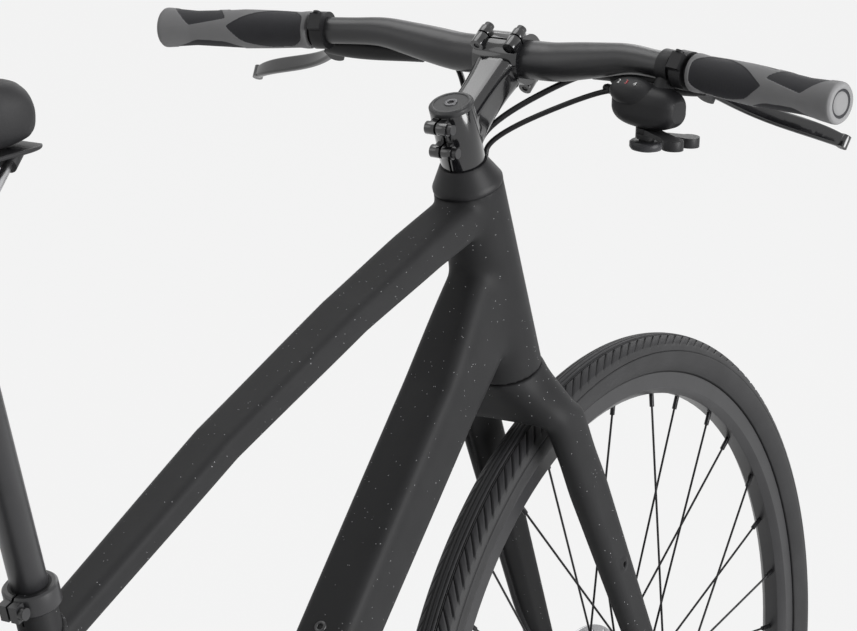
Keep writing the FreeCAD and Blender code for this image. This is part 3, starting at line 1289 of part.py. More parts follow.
def make_shifter():
    turn = pod_place().Rotation
    forward, inboard, upward = (turn.multVec(axis) for axis in (FORWARD, LEFTWARD, UP))
    wires = []
    for along, size in POD_SHARES:
        wires.append(rounded_section(in_pod(0, along * val.pod_length, 0), forward, upward, val.pod_depth * size,
                                     val.pod_height * size, TUBE_CORNER_SHARES["soft"]))
    at = bar_point(RIGHT, val.shifter_band_at)
    band = Part.makeCylinder(val.shifter_band_radius, val.band_width, at - inboard * (val.band_width / 2), inboard)
    neck = round_bar(at, in_pod(0, val.pod_centre - val.shifter_band_at, 0), val.band_width * POD_NECK_SHARE)
    start, away = shifter_boot()
    boot = round_bar(start, start + away * val.shifter_boot_length, val.shifter_boot_radius)
    floor = -val.pod_height / 2
    pin = round_bar(in_pod(0, 0, 0), in_pod(0, 0, pin_low()), val.pod_pin_radius)
    rim = round_bar(in_pod(0, 0, pin_low()), in_pod(0, 0, pin_low() - val.paddle_thickness / 2), 2 * val.pod_pin_radius)
    shape = loft(wires).fuse([band, neck, boot, pin, rim])
    bar_room = Part.makeCylinder(val.bar_grip_radius + val.seat_gap, val.pod_length * 2, at - inboard * val.pod_length,
                                 inboard)
    node("shifter_housing", shaped("shifter_housing", main_solid(shape.cut(bar_room))))
    for name, level, length, angle in (("shift_lever", 0, val.paddle_length, SHIFT_PADDLE_TURN),
                                       ("release_lever", 1, val.release_length, RELEASE_PADDLE_TURN)):
        top = floor - val.moving_gap - level * (val.paddle_thickness + val.moving_gap)
        node(name, shaped(name, paddle(top, length, angle)))


POD_NECK_SHARE = 0.75


def pin_low():
    return -val.pod_height / 2 - 2 * (val.paddle_thickness + val.moving_gap) - val.moving_gap


def paddle(top, length, angle):
    """A thumb lever: a hub on the shifter's pin, an arm and a round tip pad."""
    away = Vector(-math.cos(math.radians(angle)), -math.sin(math.radians(angle)), 0)
    low = top - val.paddle_thickness
    hub = round_bar(in_pod(0, 0, low), in_pod(0, 0, top), val.paddle_hub_radius)
    tip = away * length
    pad = round_bar(in_pod(tip.x, tip.y, low - val.paddle_thickness), in_pod(tip.x, tip.y, top), val.paddle_tip_radius)
    arm = Part.makeBox(length, val.paddle_width, val.paddle_thickness)
    turn = Rotation(FORWARD, away)
    corner = turn.multVec(Vector(0, -val.paddle_width / 2, 0)) + Vector(0, 0, low)
    arm.Placement = pod_place().multiply(Placement(corner, turn))
    bore = round_bar(in_pod(0, 0, low), in_pod(0, 0, top), val.pod_pin_radius + val.shaft_fit)
    return main_solid(hub.fuse([arm, pad]).cut(bore))


# Wheels

VALVE_TURN_SHARE = 0.25
RIM_KNEE_SHARE = 0.5
ROTOR_HOLE_COUNT = 24
ROTOR_ARM_TURN = 24.0


def make_tyre(name, place):
    """A tyre casing open towards the rim, with its inner tube and valve."""
    middle = dim.bead_radius + dim.tyre_height / 2
    half = dim.tyre_height / 2
    drum_place = place.multiply(Placement(Vector(0, 0, -val.tyre_height), Rotation()))
    solids = []
    inside = half - dim.tyre_casing
    for piece, outer, inner in (("casing", half, inside),
                                ("tube", inside - dim.seat_gap, inside - dim.seat_gap - dim.tube_wall)):
        label = f"{name}_{piece}"
        ring = cut(f"{label}_ring", torus(f"{label}_outer", middle, outer, place),
                   torus(f"{label}_inner", middle, inner, place))
        drum = cylinder(f"{label}_drum", dim.rim_edge_radius + dim.seat_gap, dim.tyre_height * 2, drum_place)
        solids.append(cut(label, ring, drum))
    foot = val.rim_edge_radius - val.rim_well_depth - val.seat_gap
    valve = cylinder(f"{name}_valve", dim.valve_radius, dim.valve_length, valve_place(place, foot - val.valve_length))
    node(name, group(name, *solids, valve))


def valve_place(place, radius):
    turn = Rotation(UP, VALVE_TURN_SHARE * 2 * FULL_TURN / val.spoke_count)
    radial = Placement(Vector(radius, 0, 0), Rotation(LEFTWARD, QUARTER_TURN))
    return place.multiply(Placement(ORIGIN, turn)).multiply(radial)


def make_rim(name, place):
    edge, half = dim.rim_edge_radius, dim.rim_width / 2
    floor, well = dim.rim_floor_width / 2, dim.rim_well_width / 2
    ledge = edge - dim.rim_well_depth * RIM_KNEE_SHARE
    profile = [(edge, half), (edge - dim.rim_side_height, half), (edge - dim.rim_depth, floor)]
    inner = [(edge - dim.rim_well_depth, well), (ledge, half - dim.rim_wall), (edge, half - dim.rim_wall)]
    outline = profile + [(radius, -out) for radius, out in reversed(profile)]
    outline += [(radius, -out) for radius, out in reversed(inner)] + inner
    ring = turned(f"{name}_ring", outline, place)
    hole = cylinder(f"{name}_valve_hole", dim.valve_radius + dim.seat_gap, dim.rim_depth * 2,
                    valve_place(place, val.rim_edge_radius - 2 * val.rim_depth))
    node(name, cut(name, ring, hole))


def make_spokes(name, axle, left_flange, right_flange):
    """Crossed spokes with their nipples, alternately outside and inside each flange."""
    count = int(val.spoke_count / 2)
    step = 2 * math.pi / count
    rim_radius = val.rim_edge_radius - val.rim_depth - val.nipple_seat_gap
    beside = val.flange_thickness / 2 + val.spoke_radius
    solids = []
    for side, flange, offset in ((LEFT, left_flange, 0), (RIGHT, right_flange, 0.5)):
        for index in range(count):
            outside = index % 2 == 0
            lean = 1 if outside else -1
            stand = beside + val.spoke_stand_off if outside else -beside - val.seat_gap
            hub_turn = (index + offset) * step
            rim_turn = hub_turn + lean * val.spoke_crosses * step
            start = polar(axle, val.spoke_circle_radius, hub_turn) + LEFTWARD * (side * (flange + stand))
            end = polar(axle, rim_radius, rim_turn) + LEFTWARD * (side * val.rim_hole_offset)
            run = (end - start).normalize()
            nipple = round_bar(end - run * val.nipple_length, end, val.nipple_radius)
            solids.append(round_bar(start, end - run * val.nipple_length / 2, val.spoke_radius).fuse(nipple))
    node(name, shaped(name, Part.makeCompound(solids)))


def make_hub(name, axle, left, right, ends):
    """A hub shell with two flanges, a rotor mount and bearing bores."""
    left_end, right_end = ends
    width = dim.front_hub_width if name.startswith("front") else dim.rear_hub_width
    face = width / 2 - dim.rotor_offset - dim.rotor_thickness / 2 - dim.seat_gap
    bore = dim.bearing_radius + dim.shaft_fit
    half = dim.flange_thickness / 2
    shell, flange, mount = dim.hub_shell_radius, dim.flange_radius, dim.rotor_hub_radius
    spigot = shell + half
    outline = [
        (bore, -right_end), (shell, -right_end), (shell, -right - half), (flange, -right - half),
        (flange, -right + half), (shell, -right + half), (shell, left - half), (flange, left - half),
        (flange, left + half), (mount, left + half), (mount, face), (spigot, face), (spigot, left_end),
        (bore, left_end)]
    node(name, turned(name, outline, across_frame(axle)))


def ring_solid(outer, inner, low, high, place):
    shape = Part.makeCylinder(outer, high - low, Vector(0, 0, low)).cut(
        Part.makeCylinder(inner, high - low, Vector(0, 0, low)))
    shape.Placement = place
    return shape


def make_rotor(name, axle, hub_width):
    """A slotted brake disc on six arms, with its bolts."""
    centre = axle + LEFTWARD * (hub_width / 2 - val.rotor_offset)
    half = val.rotor_thickness / 2
    inner = val.hub_shell_radius + val.flange_thickness / 2 + val.seat_gap
    band_inner = val.rotor_radius - val.rotor_band
    shape = ring_solid(val.rotor_radius, band_inner, -half, half, Placement())
    arms = [ring_solid(val.rotor_hub_radius, inner, -half, half, Placement())]
    tools, bolts = [], []
    count = int(val.rotor_arm_count)
    for index in range(count):
        turn = Rotation(UP, index * FULL_TURN / count)
        arm = Part.makeBox(band_inner - val.rotor_bolt_circle + val.rotor_band / 2, val.rotor_arm_width, 2 * half)
        lean = Placement(Vector(val.rotor_bolt_circle, 0, -half), Rotation(UP, ROTOR_ARM_TURN))
        arm.Placement = Placement(ORIGIN, turn).multiply(lean).multiply(
            Placement(Vector(0, -val.rotor_arm_width / 2, 0), Rotation()))
        arms.append(arm)
        spot = turn.multVec(Vector(val.rotor_bolt_circle, 0, half + val.seat_gap))
        bolts.append(Part.makeCylinder(val.rotor_bolt_radius, val.rotor_bolt_height, spot))
    for index in range(ROTOR_HOLE_COUNT):
        turn = Rotation(UP, index * FULL_TURN / ROTOR_HOLE_COUNT)
        share = ROTOR_HOLE_SHARES[index % len(ROTOR_HOLE_SHARES)]
        spot = turn.multVec(Vector(band_inner + val.rotor_band * share, 0, -val.rotor_band))
        tools.append(Part.makeCylinder(val.rotor_hole_radius, 2 * val.rotor_band, spot))
    bore = Part.makeCylinder(inner, 2 * val.rotor_band, Vector(0, 0, -val.rotor_band))
    shape = main_solid(shape.fuse(arms).cut(tools + [bore]))
    disc_group = Part.makeCompound([shape] + bolts)
    disc_group.Placement = across_frame(centre)
    node(name, shaped(name, disc_group))


ROTOR_HOLE_SHARES = (0.3, 0.5, 0.7)


def make_axle(name, axle, width, plate, bearing_spots):
    """An axle with locknuts, end bolts outside the dropouts and its cartridge bearings."""
    half = width / 2
    thin, nut, head = dim.axle_radius, dim.locknut_radius, dim.skewer_head_radius
    inner, outer = half - dim.locknut_width, half - dim.seat_gap
    under = half + plate + dim.seat_gap
    end = under + dim.skewer_head_width
    right = [(0, -end), (head, -end), (head, -under), (thin, -under), (thin, -outer), (nut, -outer), (nut, -inner),
             (thin, -inner)]
    outline = right + [(radius, -height) for radius, height in reversed(right)]
    rod = turned(f"{name}_rod", outline, across_frame(axle))
    rings = []
    for index, (spot, outer_radius) in enumerate(bearing_spots):
        low, high = spot - dim.bearing_width / 2, spot + dim.bearing_width / 2
        bore = thin + dim.seat_gap
        rings.append(turned(f"{name}_bearing_{index}", [
            (bore, low), (outer_radius, low), (outer_radius, high), (bore, high)], across_frame(axle)))
    node(name, group(name, rod, *rings))


def front_hub_end():
    return dim.front_hub_width / 2 - dim.locknut_width - dim.moving_gap


def rear_hub_ends():
    return (dim.rear_hub_width / 2 - dim.locknut_width - dim.moving_gap,
            dim.rear_right_flange + dim.flange_thickness * 1.5)


def make_wheels():
    for prefix, axle in (("front", front_axle), ("rear", rear_axle)):
        place = across_frame(axle)
        make_tyre(f"{prefix}_tyre", place)
        make_rim(f"{prefix}_rim", place)
    make_spokes("front_spokes", front_axle, val.front_left_flange, val.front_right_flange)
    make_spokes("rear_spokes", rear_axle, val.rear_left_flange, val.rear_right_flange)
    make_hub("front_hub", front_axle, dim.front_left_flange, dim.front_right_flange, (front_hub_end(), front_hub_end()))
    make_hub("rear_hub", rear_axle, dim.rear_left_flange, dim.rear_right_flange, rear_hub_ends())
    make_rotor("front_rotor", front_axle, val.front_hub_width)
    make_rotor("rear_rotor", rear_axle, val.rear_hub_width)
    inset = dim.bearing_width / 2
    front_spot = front_hub_end() - inset
    make_axle("front_axle", front_axle, dim.front_hub_width, dim.front_dropout_thickness,
              ((front_spot, dim.bearing_radius), (-front_spot, dim.bearing_radius)))
    left_end, right_end = rear_hub_ends()
    freehub_spot = dim.rear_hub_width / 2 - dim.locknut_width - dim.moving_gap - inset
    make_axle("rear_axle", rear_axle, dim.rear_hub_width, dim.rear_dropout_thickness, (
        (left_end - inset, dim.bearing_radius), (-right_end + inset, dim.bearing_radius),
        (-freehub_spot, dim.freehub_bore - dim.shaft_fit)))


# Calipers


def front_caliper_place():
    """X up the left fork leg, Y to the left, Z away from the leg, at the rotor's plane."""
    share = 1 - val.caliper_length / val.fork_length
    centre, width, depth = leg_station(LEFT, share)
    spot = centre - steer_forward * (depth / 2)
    spot.y = val.front_hub_width / 2 - val.rotor_offset
    return frame_from(spot, steer_up, LEFTWARD)


def rear_caliper_place():
    """X forward along the left chainstay, Y to the left, Z away from the stay, at the rotor's plane."""
    run = (bracket - rear_axle).normalize()
    square = upright_of(rear_axle, bracket)
    lift = val.chainstay_rear_height / 2 + val.seat_gap
    spot = rear_axle + run * (val.rotor_radius * REAR_CALIPER_SHARE) + square * lift
    spot.y = val.rear_hub_width / 2 - val.rotor_offset
    return frame_from(spot, run, LEFTWARD)


REAR_CALIPER_SHARE = 0.86


def make_caliper(name, place, axle, hub_width, carrier):
    """A caliper body bridging the rotor, seated on its carrier, with two brake pads."""
    length, low = val.caliper_length, val.seat_gap
    body = Part.makeBox(length, val.caliper_inner + val.caliper_outer, val.caliper_depth - low,
                        Vector(-length / 2, -val.caliper_inner, low))
    body = body.makeFillet(val.caliper_foot, [edge for edge in body.Edges if upright_edge(edge)])
    body.Placement = place
    plane = axle + LEFTWARD * (hub_width / 2 - val.rotor_offset)
    half = val.caliper_slot / 2
    slot = Part.makeCylinder(val.rotor_radius + val.pad_thickness, val.caliper_slot, plane - LEFTWARD * half, LEFTWARD)
    body = main_solid(body.cut([slot, carrier]))
    toward = place.multVec(Vector(0, 0, val.caliper_depth / 2)) - plane
    pad_centre = plane + toward.normalize() * (val.rotor_radius - val.rotor_band / 2)
    pads = []
    for side in (LEFT, RIGHT):
        start = pad_centre + LEFTWARD * (side * (val.rotor_thickness / 2 + val.pad_gap))
        pad = Part.makeCylinder(val.pad_depth, half - val.rotor_thickness / 2 - val.pad_gap - val.seat_gap, start,
                                LEFTWARD * side)
        pads.append(pad)
    node(name, shaped(name, Part.makeCompound([body] + pads)))


def upright_edge(edge):
    run = edge.tangentAt(edge.FirstParameter)
    return abs(run.z) > abs(run.x) + abs(run.y)


def make_calipers():
    make_caliper("front_caliper", front_caliper_place(), front_axle, val.front_hub_width, fork_leg(LEFT))
    make_caliper("rear_caliper", rear_caliper_place(), rear_axle, val.rear_hub_width, chainstay(LEFT))


def make_rear_cables():
    """The rear hose along the left chainstay and the shift housing's loop to the derailleur."""
    square = upright_of(rear_axle, bracket)
    top = val.chainstay_front_height / 2 + val.hose_radius + val.seat_gap
    place = rear_caliper_place()
    entry = place.multVec(Vector(val.caliper_length / 2 + val.seat_gap, val.caliper_outer / 2, val.caliper_depth / 2))
    points = []
    for along, out in REAR_HOSE_SHARES:
        half = val.rear_hub_width / 2
        points.append(mix(bracket, rear_axle, along) + LEFTWARD * (out * half) + square * top)
    forward = (bracket - rear_axle).normalize()
    rear_hose = hose(points + [entry + forward * val.hose_lead * 2, entry], 2 * val.hose_bend, val.hose_radius)
    loop = derailleur_loop()
    node("rear_cables", shaped("rear_cables", Part.makeCompound([
        rear_hose, hose(loop, 2 * val.hose_bend, val.housing_radius)])))


REAR_HOSE_SHARES = ((0.3, 0.585), (0.5, 0.735), (0.63, 0.86))


def derailleur_loop():
    inner = rear_axle + LEFTWARD * (RIGHT * (val.rear_hub_width / 2))
    side = LEFTWARD * (RIGHT * (val.rear_dropout_thickness + val.knuckle_width / 2))
    knuckle = hanger_point(inner) + side + Vector(-val.knuckle_radius - val.seat_gap, 0, 0)
    reach = val.chainstay_width / 2 + val.housing_radius + val.moving_gap
    drop = val.skewer_head_radius + 2 * val.housing_radius
    start = mix(rear_axle, bracket, LOOP_START_SHARE) + Vector(0, RIGHT * (val.rear_hub_width / 2 + reach), -val.seat_gap)
    passing = rear_axle + Vector(0, knuckle.y, -drop)
    back = val.hose_bend * 4
    corner = Vector(knuckle.x - back, knuckle.y, rear_axle.z - drop)
    low = Vector(knuckle.x - back, knuckle.y, knuckle.z)
    return [start, passing, corner, low, knuckle]


LOOP_START_SHARE = 0.1


# Drive

CHAIN_STEP_SHARE = 0.02
EVEN_LINKS = 2
SOLVER_STEPS = 40


def pitch_radius(teeth):
    return val.chain_pitch / (2 * math.sin(math.pi / teeth))


def guide_centre():
    return rear_axle + Vector(val.guide_forward, 0, -val.guide_drop)


def tension_centre(swing):
    turn = math.radians(swing)
    return guide_centre() + Vector(math.sin(turn), 0, -math.cos(turn)) * val.cage_length


def wheels_on_chain(swing):
    """Each toothed wheel on the chain's way with its centre, pitch radius and turning sense."""
    pulley = pitch_radius(val.pulley_teeth)
    return [(bracket, pitch_radius(val.ring_teeth), -1), (tension_centre(swing), pulley, -1),
            (guide_centre(), pulley, 1), (rear_axle, pitch_radius(COG_TEETH[int(val.cog_index)]), -1)]


def tangent_turn(first, second):
    """The heading of the chain's straight run from one wheel to the next."""
    way = second[0] - first[0]
    reach = second[2] * second[1] - first[2] * first[1]
    return math.atan2(way.z, way.x) - math.asin(reach / way.Length)


def chain_track(swing):
    """Closely spaced points along the chain's whole way."""
    wheels = wheels_on_chain(swing)
    headings = [tangent_turn(wheels[index], wheels[(index + 1) % len(wheels)]) for index in range(len(wheels))]
    track = []
    for index, (centre, radius, sense) in enumerate(wheels):
        start = headings[index - 1] - sense * math.pi / 2
        stop = headings[index] - sense * math.pi / 2
        sweep = (stop - start) * sense % (2 * math.pi)
        count = int(radius * sweep / (val.chain_pitch * CHAIN_STEP_SHARE)) + 2
        for step in range(count):
            track.append(polar(centre, radius, start + sense * sweep * step / (count - 1)))
    return track


def walk_chain(swing):
    """Pin points one pitch apart along the way, and the part of a pitch left at the end."""
    track = chain_track(swing)
    pins = [track[0]]
    for start, end in zip(track, track[1:] + track[:1]):
        spot = start
        while (end - pins[-1]).Length >= val.chain_pitch:
            low, high = 0.0, 1.0
            for _ in range(SOLVER_STEPS):
                middle = (low + high) / 2
                if (mix(spot, end, middle) - pins[-1]).Length < val.chain_pitch:
                    low = middle
                else:
                    high = middle
            spot = mix(spot, end, high)
            pins.append(spot)
    left = (track[0] - pins[-1]).Length / val.chain_pitch
    return pins, len(pins) - 1 + left


def solve_chain():
    """Swings the derailleur cage until the chain closes with an even number of links."""
    low, high = val.cage_swing_low, val.cage_swing_high
    wanted = EVEN_LINKS * round(walk_chain((low + high) / 2)[1] / EVEN_LINKS)
    for _ in range(SOLVER_STEPS):
        middle = (low + high) / 2
        if walk_chain(middle)[1] > wanted:
            low = middle
        else:
            high = middle
    return walk_chain(high)[0][:int(wanted)], high


chain_pins, cage_swing = solve_chain()


def mesh_turn(centre, teeth):
    """The turn that puts a wheel's tooth gaps under the chain's pins."""
    radius = pitch_radius(teeth)
    pin = min(chain_pins, key=lambda spot: abs((spot - centre).Length - radius))
    return -math.degrees(math.atan2(pin.z - centre.z, pin.x - centre.x))


def toothed_place(centre, teeth, out):
    turn = Placement(ORIGIN, Rotation(UP, mesh_turn(centre, teeth)))
    return across_frame(centre - LEFTWARD * out).multiply(turn)


def toothed_wheel(name, teeth, thickness, place, bore):
    """A sprocket with round tooth gaps at the chain's pitch and a round bore."""
    half_turn = math.sin(math.pi / float(teeth))
    pitch = dim.chain_pitch / (2 * half_turn)
    body = disc(f"{name}_disc", pitch + dim.tooth_height, thickness, place)
    base = body.Group[0]
    drilled_ring(body, base, f"{name}_gap", pitch, dim.tooth_gap_radius, teeth)
    hole = cylinder(f"{name}_bore", bore, thickness * 2, place.multiply(
        Placement(Vector(0, 0, -as_length(thickness).value), Rotation())))
    return cut(name, body, hole)


def make_chain():
    inner, outer = inner_link(), outer_link()
    links = []
    for index, pin in enumerate(chain_pins):
        ahead = chain_pins[(index + 1) % len(chain_pins)]
        link = (inner if index % EVEN_LINKS else outer).copy()
        turn = -math.degrees(math.atan2(ahead.z - pin.z, ahead.x - pin.x))
        link.Placement = Placement(pin - LEFTWARD * val.chainline, Rotation(LEFTWARD, turn))
        links.append(link)
    node("chain", shaped("chain", Part.makeCompound(links)))


def link_plate(inner_face):
    """Two matching side plates of a link, with rounded ends around both pins."""
    plates = []
    radius, pitch = val.link_half_height, val.chain_pitch
    for low in (inner_face, -inner_face - val.link_plate):
        start = Vector(0, low, 0)
        plate = Part.makeBox(pitch, val.link_plate, 2 * radius, start - UP * radius)
        for spot in (start, start + FORWARD * pitch):
            plate = plate.fuse(Part.makeCylinder(radius, val.link_plate, spot, LEFTWARD))
        plates.append(plate.removeSplitter())
    return plates


def through_pins(radius, half):
    return [Part.makeCylinder(radius, 2 * half, FORWARD * along - LEFTWARD * half, LEFTWARD)
            for along in (0, val.chain_pitch)]


def inner_link():
    half = val.roller_width / 2
    plates = link_plate(half)
    rollers = through_pins(val.roller_radius, half)
    whole = plates[0].fuse([plates[1]] + rollers)
    bores = through_pins(val.link_pin_radius + val.link_bore_gap, 2 * half + val.link_plate)
    return main_solid(whole.cut(bores))


def outer_link():
    face = val.roller_width / 2 + val.link_plate + val.link_plate_gap
    plates = link_plate(face)
    return main_solid(plates[0].fuse([plates[1]] + through_pins(val.link_pin_radius, face + val.link_plate)))


def cog_out(index):
    """How far right of the middle plane a cog stands, as an expression."""
    return dim.chainline + dim.cog_spacing * (val.cog_index - index)


def make_cassette():
    bore = dim.freehub_radius + dim.seat_gap
    solids = []
    for index, teeth in enumerate(COG_TEETH):
        out = cog_out(index)
        place = across_frame(rear_axle - LEFTWARD * out.value)
        if index == int(val.cog_index):
            place = toothed_place(rear_axle, teeth, out.value)
        solids.append(toothed_wheel(f"cog_{teeth}", teeth, dim.cog_thickness, place, bore))
        if index:
            solids.append(cog_spacer(index, bore))
    inner = rear_hub_ends()[1] + dim.moving_gap
    outer = cog_out(0) + dim.cog_thickness / 2
    hub = turned("freehub", [
        (dim.freehub_bore, -outer), (dim.freehub_radius, -outer), (dim.freehub_radius, -inner),
        (dim.freehub_bore, -inner)], across_frame(rear_axle))
    node("cassette", group("cassette", hub, *solids))


def cog_spacer(index, bore):
    """The ring that keeps a cog apart from the next smaller one."""
    low = cog_out(index) + dim.cog_thickness / 2 + dim.seat_gap
    high = cog_out(index - 1) - dim.cog_thickness / 2 - dim.seat_gap
    wall = bore + dim.cog_thickness
    return turned(f"cog_spacer_{index}", [(bore, -high), (wall, -high), (wall, -low), (bore, -low)],
                  across_frame(rear_axle))


RING_BOLT_COUNT = 4


def ring_bolt_spots():
    spots = []
    for index in range(RING_BOLT_COUNT):
        spots.append(polar(bracket, val.ring_bolt_circle, (index + 0.5) * 2 * math.pi / RING_BOLT_COUNT))
    return spots


def make_chainring():
    blank = toothed_wheel("ring_blank", val.ring_teeth, dim.ring_thickness,
                          toothed_place(bracket, val.ring_teeth, val.chainline), dim.ring_inner_radius)
    doc.recompute()
    inner = -val.chainline + val.ring_thickness / 2
    outer = -val.chainline - val.ring_thickness / 2 - val.seat_gap - val.spider_thickness - val.seat_gap
    shape = blank.Shape
    bolts = []
    for spot in ring_bolt_spots():
        face, back = spot + LEFTWARD * outer, spot + LEFTWARD * inner
        shape = shape.cut(round_bar(face, back + LEFTWARD, ring_bolt_bore()))
        head = round_bar(face - LEFTWARD * val.ring_bolt_height, face, val.ring_bolt_radius)
        bolts.append(round_bar(face, back, ring_bolt_bore() - val.seat_gap).fuse(head))
    node("chainring", shaped("chainring", Part.makeCompound([main_solid(shape)] + bolts)))


def ring_bolt_bore():
    return val.ring_bolt_radius * RING_BOLT_SHARE


RING_BOLT_SHARE = 0.75
CRANK_MIDDLE_SHARES = ((0.0, 0.92), (0.5, 0.8), (1.0, 0.86))
CRANK_ARM_SHARE = 0.88


def crank_arm(side, forward):
    """One crank arm, pointing forward or back, with bosses for the spindle and the pedal."""
    reach = forward * val.crank_length
    wires = []
    for along, wide in CRANK_MIDDLE_SHARES:
        out = mix(val.crank_root_offset, val.crank_tip_offset, along) + val.crank_thickness / 2
        height = 2 * mix(val.crank_root_radius, val.crank_tip_radius, along) * wide
        centre = bracket + Vector(reach * along, side * out, 0)
        wires.append(rounded_section(centre, LEFTWARD, UP, val.crank_thickness * CRANK_ARM_SHARE, height,
                                     TUBE_CORNER_SHARES["soft"]))
    root = bracket + LEFTWARD * (side * val.crank_root_offset)
    boss = Part.makeCylinder(val.crank_root_radius, val.crank_thickness, root, LEFTWARD * side)
    tip = crank_tip(side, forward)
    end = Part.makeCylinder(val.crank_tip_radius, val.crank_thickness, tip, LEFTWARD * side)
    thread = Part.makeCylinder(val.pedal_axle_collar + val.seat_gap, val.crank_thickness, tip, LEFTWARD * side)
    return loft(wires).fuse([boss, end]).cut(thread)


def crank_tip(side, forward):
    return bracket + Vector(forward * val.crank_length, side * val.crank_tip_offset, 0)


def spider():
    """Four arms from the right crank to the chainring's bolts."""
    top = -val.chainline - val.ring_thickness / 2 - val.seat_gap
    start = bracket + LEFTWARD * (top - val.spider_thickness)
    solids = [Part.makeCylinder(val.crank_root_radius + val.spider_thickness, val.spider_thickness, start, LEFTWARD)]
    for spot in ring_bolt_spots():
        tip = spot + LEFTWARD * (top - val.spider_thickness)
        solids.append(Part.makeCylinder(val.spider_arm_width / 2, val.spider_thickness, tip, LEFTWARD))
        arm = Part.makeBox((tip - start).Length, val.spider_arm_width, val.spider_thickness)
        run = (tip - start).normalize()
        arm.Placement = frame_from(start, run, run.cross(LEFTWARD) * -1).multiply(
            Placement(Vector(0, -val.spider_arm_width / 2, 0), Rotation()))
        solids.append(arm)
    joined = solids[0].fuse(solids[1:])
    return joined.cut([round_bar(spot - LEFTWARD * val.crank_tip_offset, spot, ring_bolt_bore())
                       for spot in ring_bolt_spots()])


def make_cranks():
    outer = val.crank_root_offset + val.crank_thickness
    right_end = bracket - LEFTWARD * val.crank_root_offset
    left_end = bracket + LEFTWARD * outer
    spindle = round_bar(right_end, left_end, val.spindle_radius)
    hollow = round_bar(right_end, left_end, val.spindle_radius - val.spindle_wall)
    right = crank_arm(RIGHT, 1).fuse([spider(), spindle]).cut(hollow)
    node("right_crank", shaped("right_crank", main_solid(right)))
    clamp = round_bar(bracket, left_end + LEFTWARD, val.spindle_radius + val.seat_gap)
    node("left_crank", shaped("left_crank", main_solid(crank_arm(LEFT, -1).cut(clamp))))


def pedal_axle(side, forward):
    tip = crank_tip(side, forward)
    away = LEFTWARD * side
    collar = round_bar(tip, tip + away * (val.crank_thickness + val.pedal_gap / 2), val.pedal_axle_collar)
    shaft = round_bar(tip, tip + away * (val.crank_thickness + val.pedal_gap + val.pedal_width - val.pedal_cap),
                      val.pedal_axle_radius)
    return collar.fuse(shaft)


def pedal(side, forward):
    """A platform pedal: a bearing barrel inside an open frame with a tread bar at each end."""
    away = LEFTWARD * side
    start = crank_tip(side, forward) + away * (val.crank_thickness + val.pedal_gap)
    centre = start + away * (val.pedal_width / 2)
    frame = centred_block(centre, val.pedal_length, val.pedal_width, val.pedal_thickness)
    opening = centred_block(centre, val.pedal_length - 2 * val.pedal_wall, val.pedal_width - 2 * val.pedal_wall,
                            2 * val.pedal_thickness)
    barrel = round_bar(start, start + away * val.pedal_width, val.pedal_barrel_radius)
    rib = centred_block(centre, val.pedal_length - val.pedal_wall, val.pedal_wall, val.pedal_wall)
    bore = round_bar(start, start + away * (val.pedal_width - val.pedal_cap + val.moving_gap),
                     val.pedal_axle_radius + val.shaft_fit)
    waist = centred_block(centre + UP * (val.pedal_thickness * PEDAL_WAIST_SHARE), val.pedal_length * PEDAL_WAIST_SHARE,
                          2 * val.pedal_width, val.pedal_thickness / 2)
    low_waist = waist.mirror(centre, UP)
    return main_solid(frame.cut([opening, waist, low_waist]).fuse([barrel, rib]).cut(bore))


PEDAL_WAIST_SHARE = 0.6


def centred_block(centre, length, width, height):
    return Part.makeBox(length, width, height, centre - Vector(length / 2, width / 2, height / 2))


def make_pedals():
    axles = [pedal_axle(RIGHT, 1), pedal_axle(LEFT, -1)]
    node("pedal_axles", shaped("pedal_axles", Part.makeCompound(axles)))
    node("right_pedal", shaped("right_pedal", pedal(RIGHT, 1)))
    node("left_pedal", shaped("left_pedal", pedal(LEFT, -1)))


def make_bottom_bracket():
    half = dim.bracket_width / 2
    bore = dim.spindle_radius + dim.shaft_fit
    thread = dim.bracket_shell_bore - dim.seat_gap
    cups = []
    for name, turn in (("left_cup", 0), ("right_cup", HALF_TURN)):
        place = across_frame(bracket).multiply(Placement(ORIGIN, Rotation(FORWARD, turn)))
        cups.append(turned(name, [
            (bore, half - dim.cup_thread_length), (thread, half - dim.cup_thread_length), (thread, half + dim.seat_gap),
            (dim.cup_radius, half + dim.seat_gap), (dim.cup_radius, half + dim.cup_width),
            (bore, half + dim.cup_width)], place))
    node("bottom_bracket", group("bottom_bracket", *cups))


def make_derailleur():
    inner = rear_axle + LEFTWARD * (RIGHT * (val.rear_hub_width / 2 + val.rear_dropout_thickness + val.seat_gap))
    knuckle = hanger_point(inner)
    right = LEFTWARD * RIGHT
    upper = round_bar(knuckle, knuckle + right * val.knuckle_width, val.knuckle_radius)
    bolt = round_bar(knuckle - right * val.rear_dropout_thickness, knuckle, val.hanger_bolt_radius - val.seat_gap)
    plate_face = val.chainline + val.cage_half_gap + val.cage_plate + val.seat_gap
    pivot = guide_centre() + right * plate_face
    lower = round_bar(pivot, pivot + right * val.knuckle_width, val.knuckle_radius)
    start, end = knuckle + right * (val.knuckle_width / 2), pivot + right * (val.knuckle_width / 2)
    below = start - UP * (val.hanger_radius + val.knuckle_radius)
    wires = [rounded_section(spot, LEFTWARD, FORWARD, val.link_body_height, val.link_body_width,
                             TUBE_CORNER_SHARES["soft"]) for spot in (start, below, end)]
    link = loft(wires, ruled=True)
    node("derailleur_body", shaped("derailleur_body", main_solid(upper.fuse([bolt, lower, link]))))


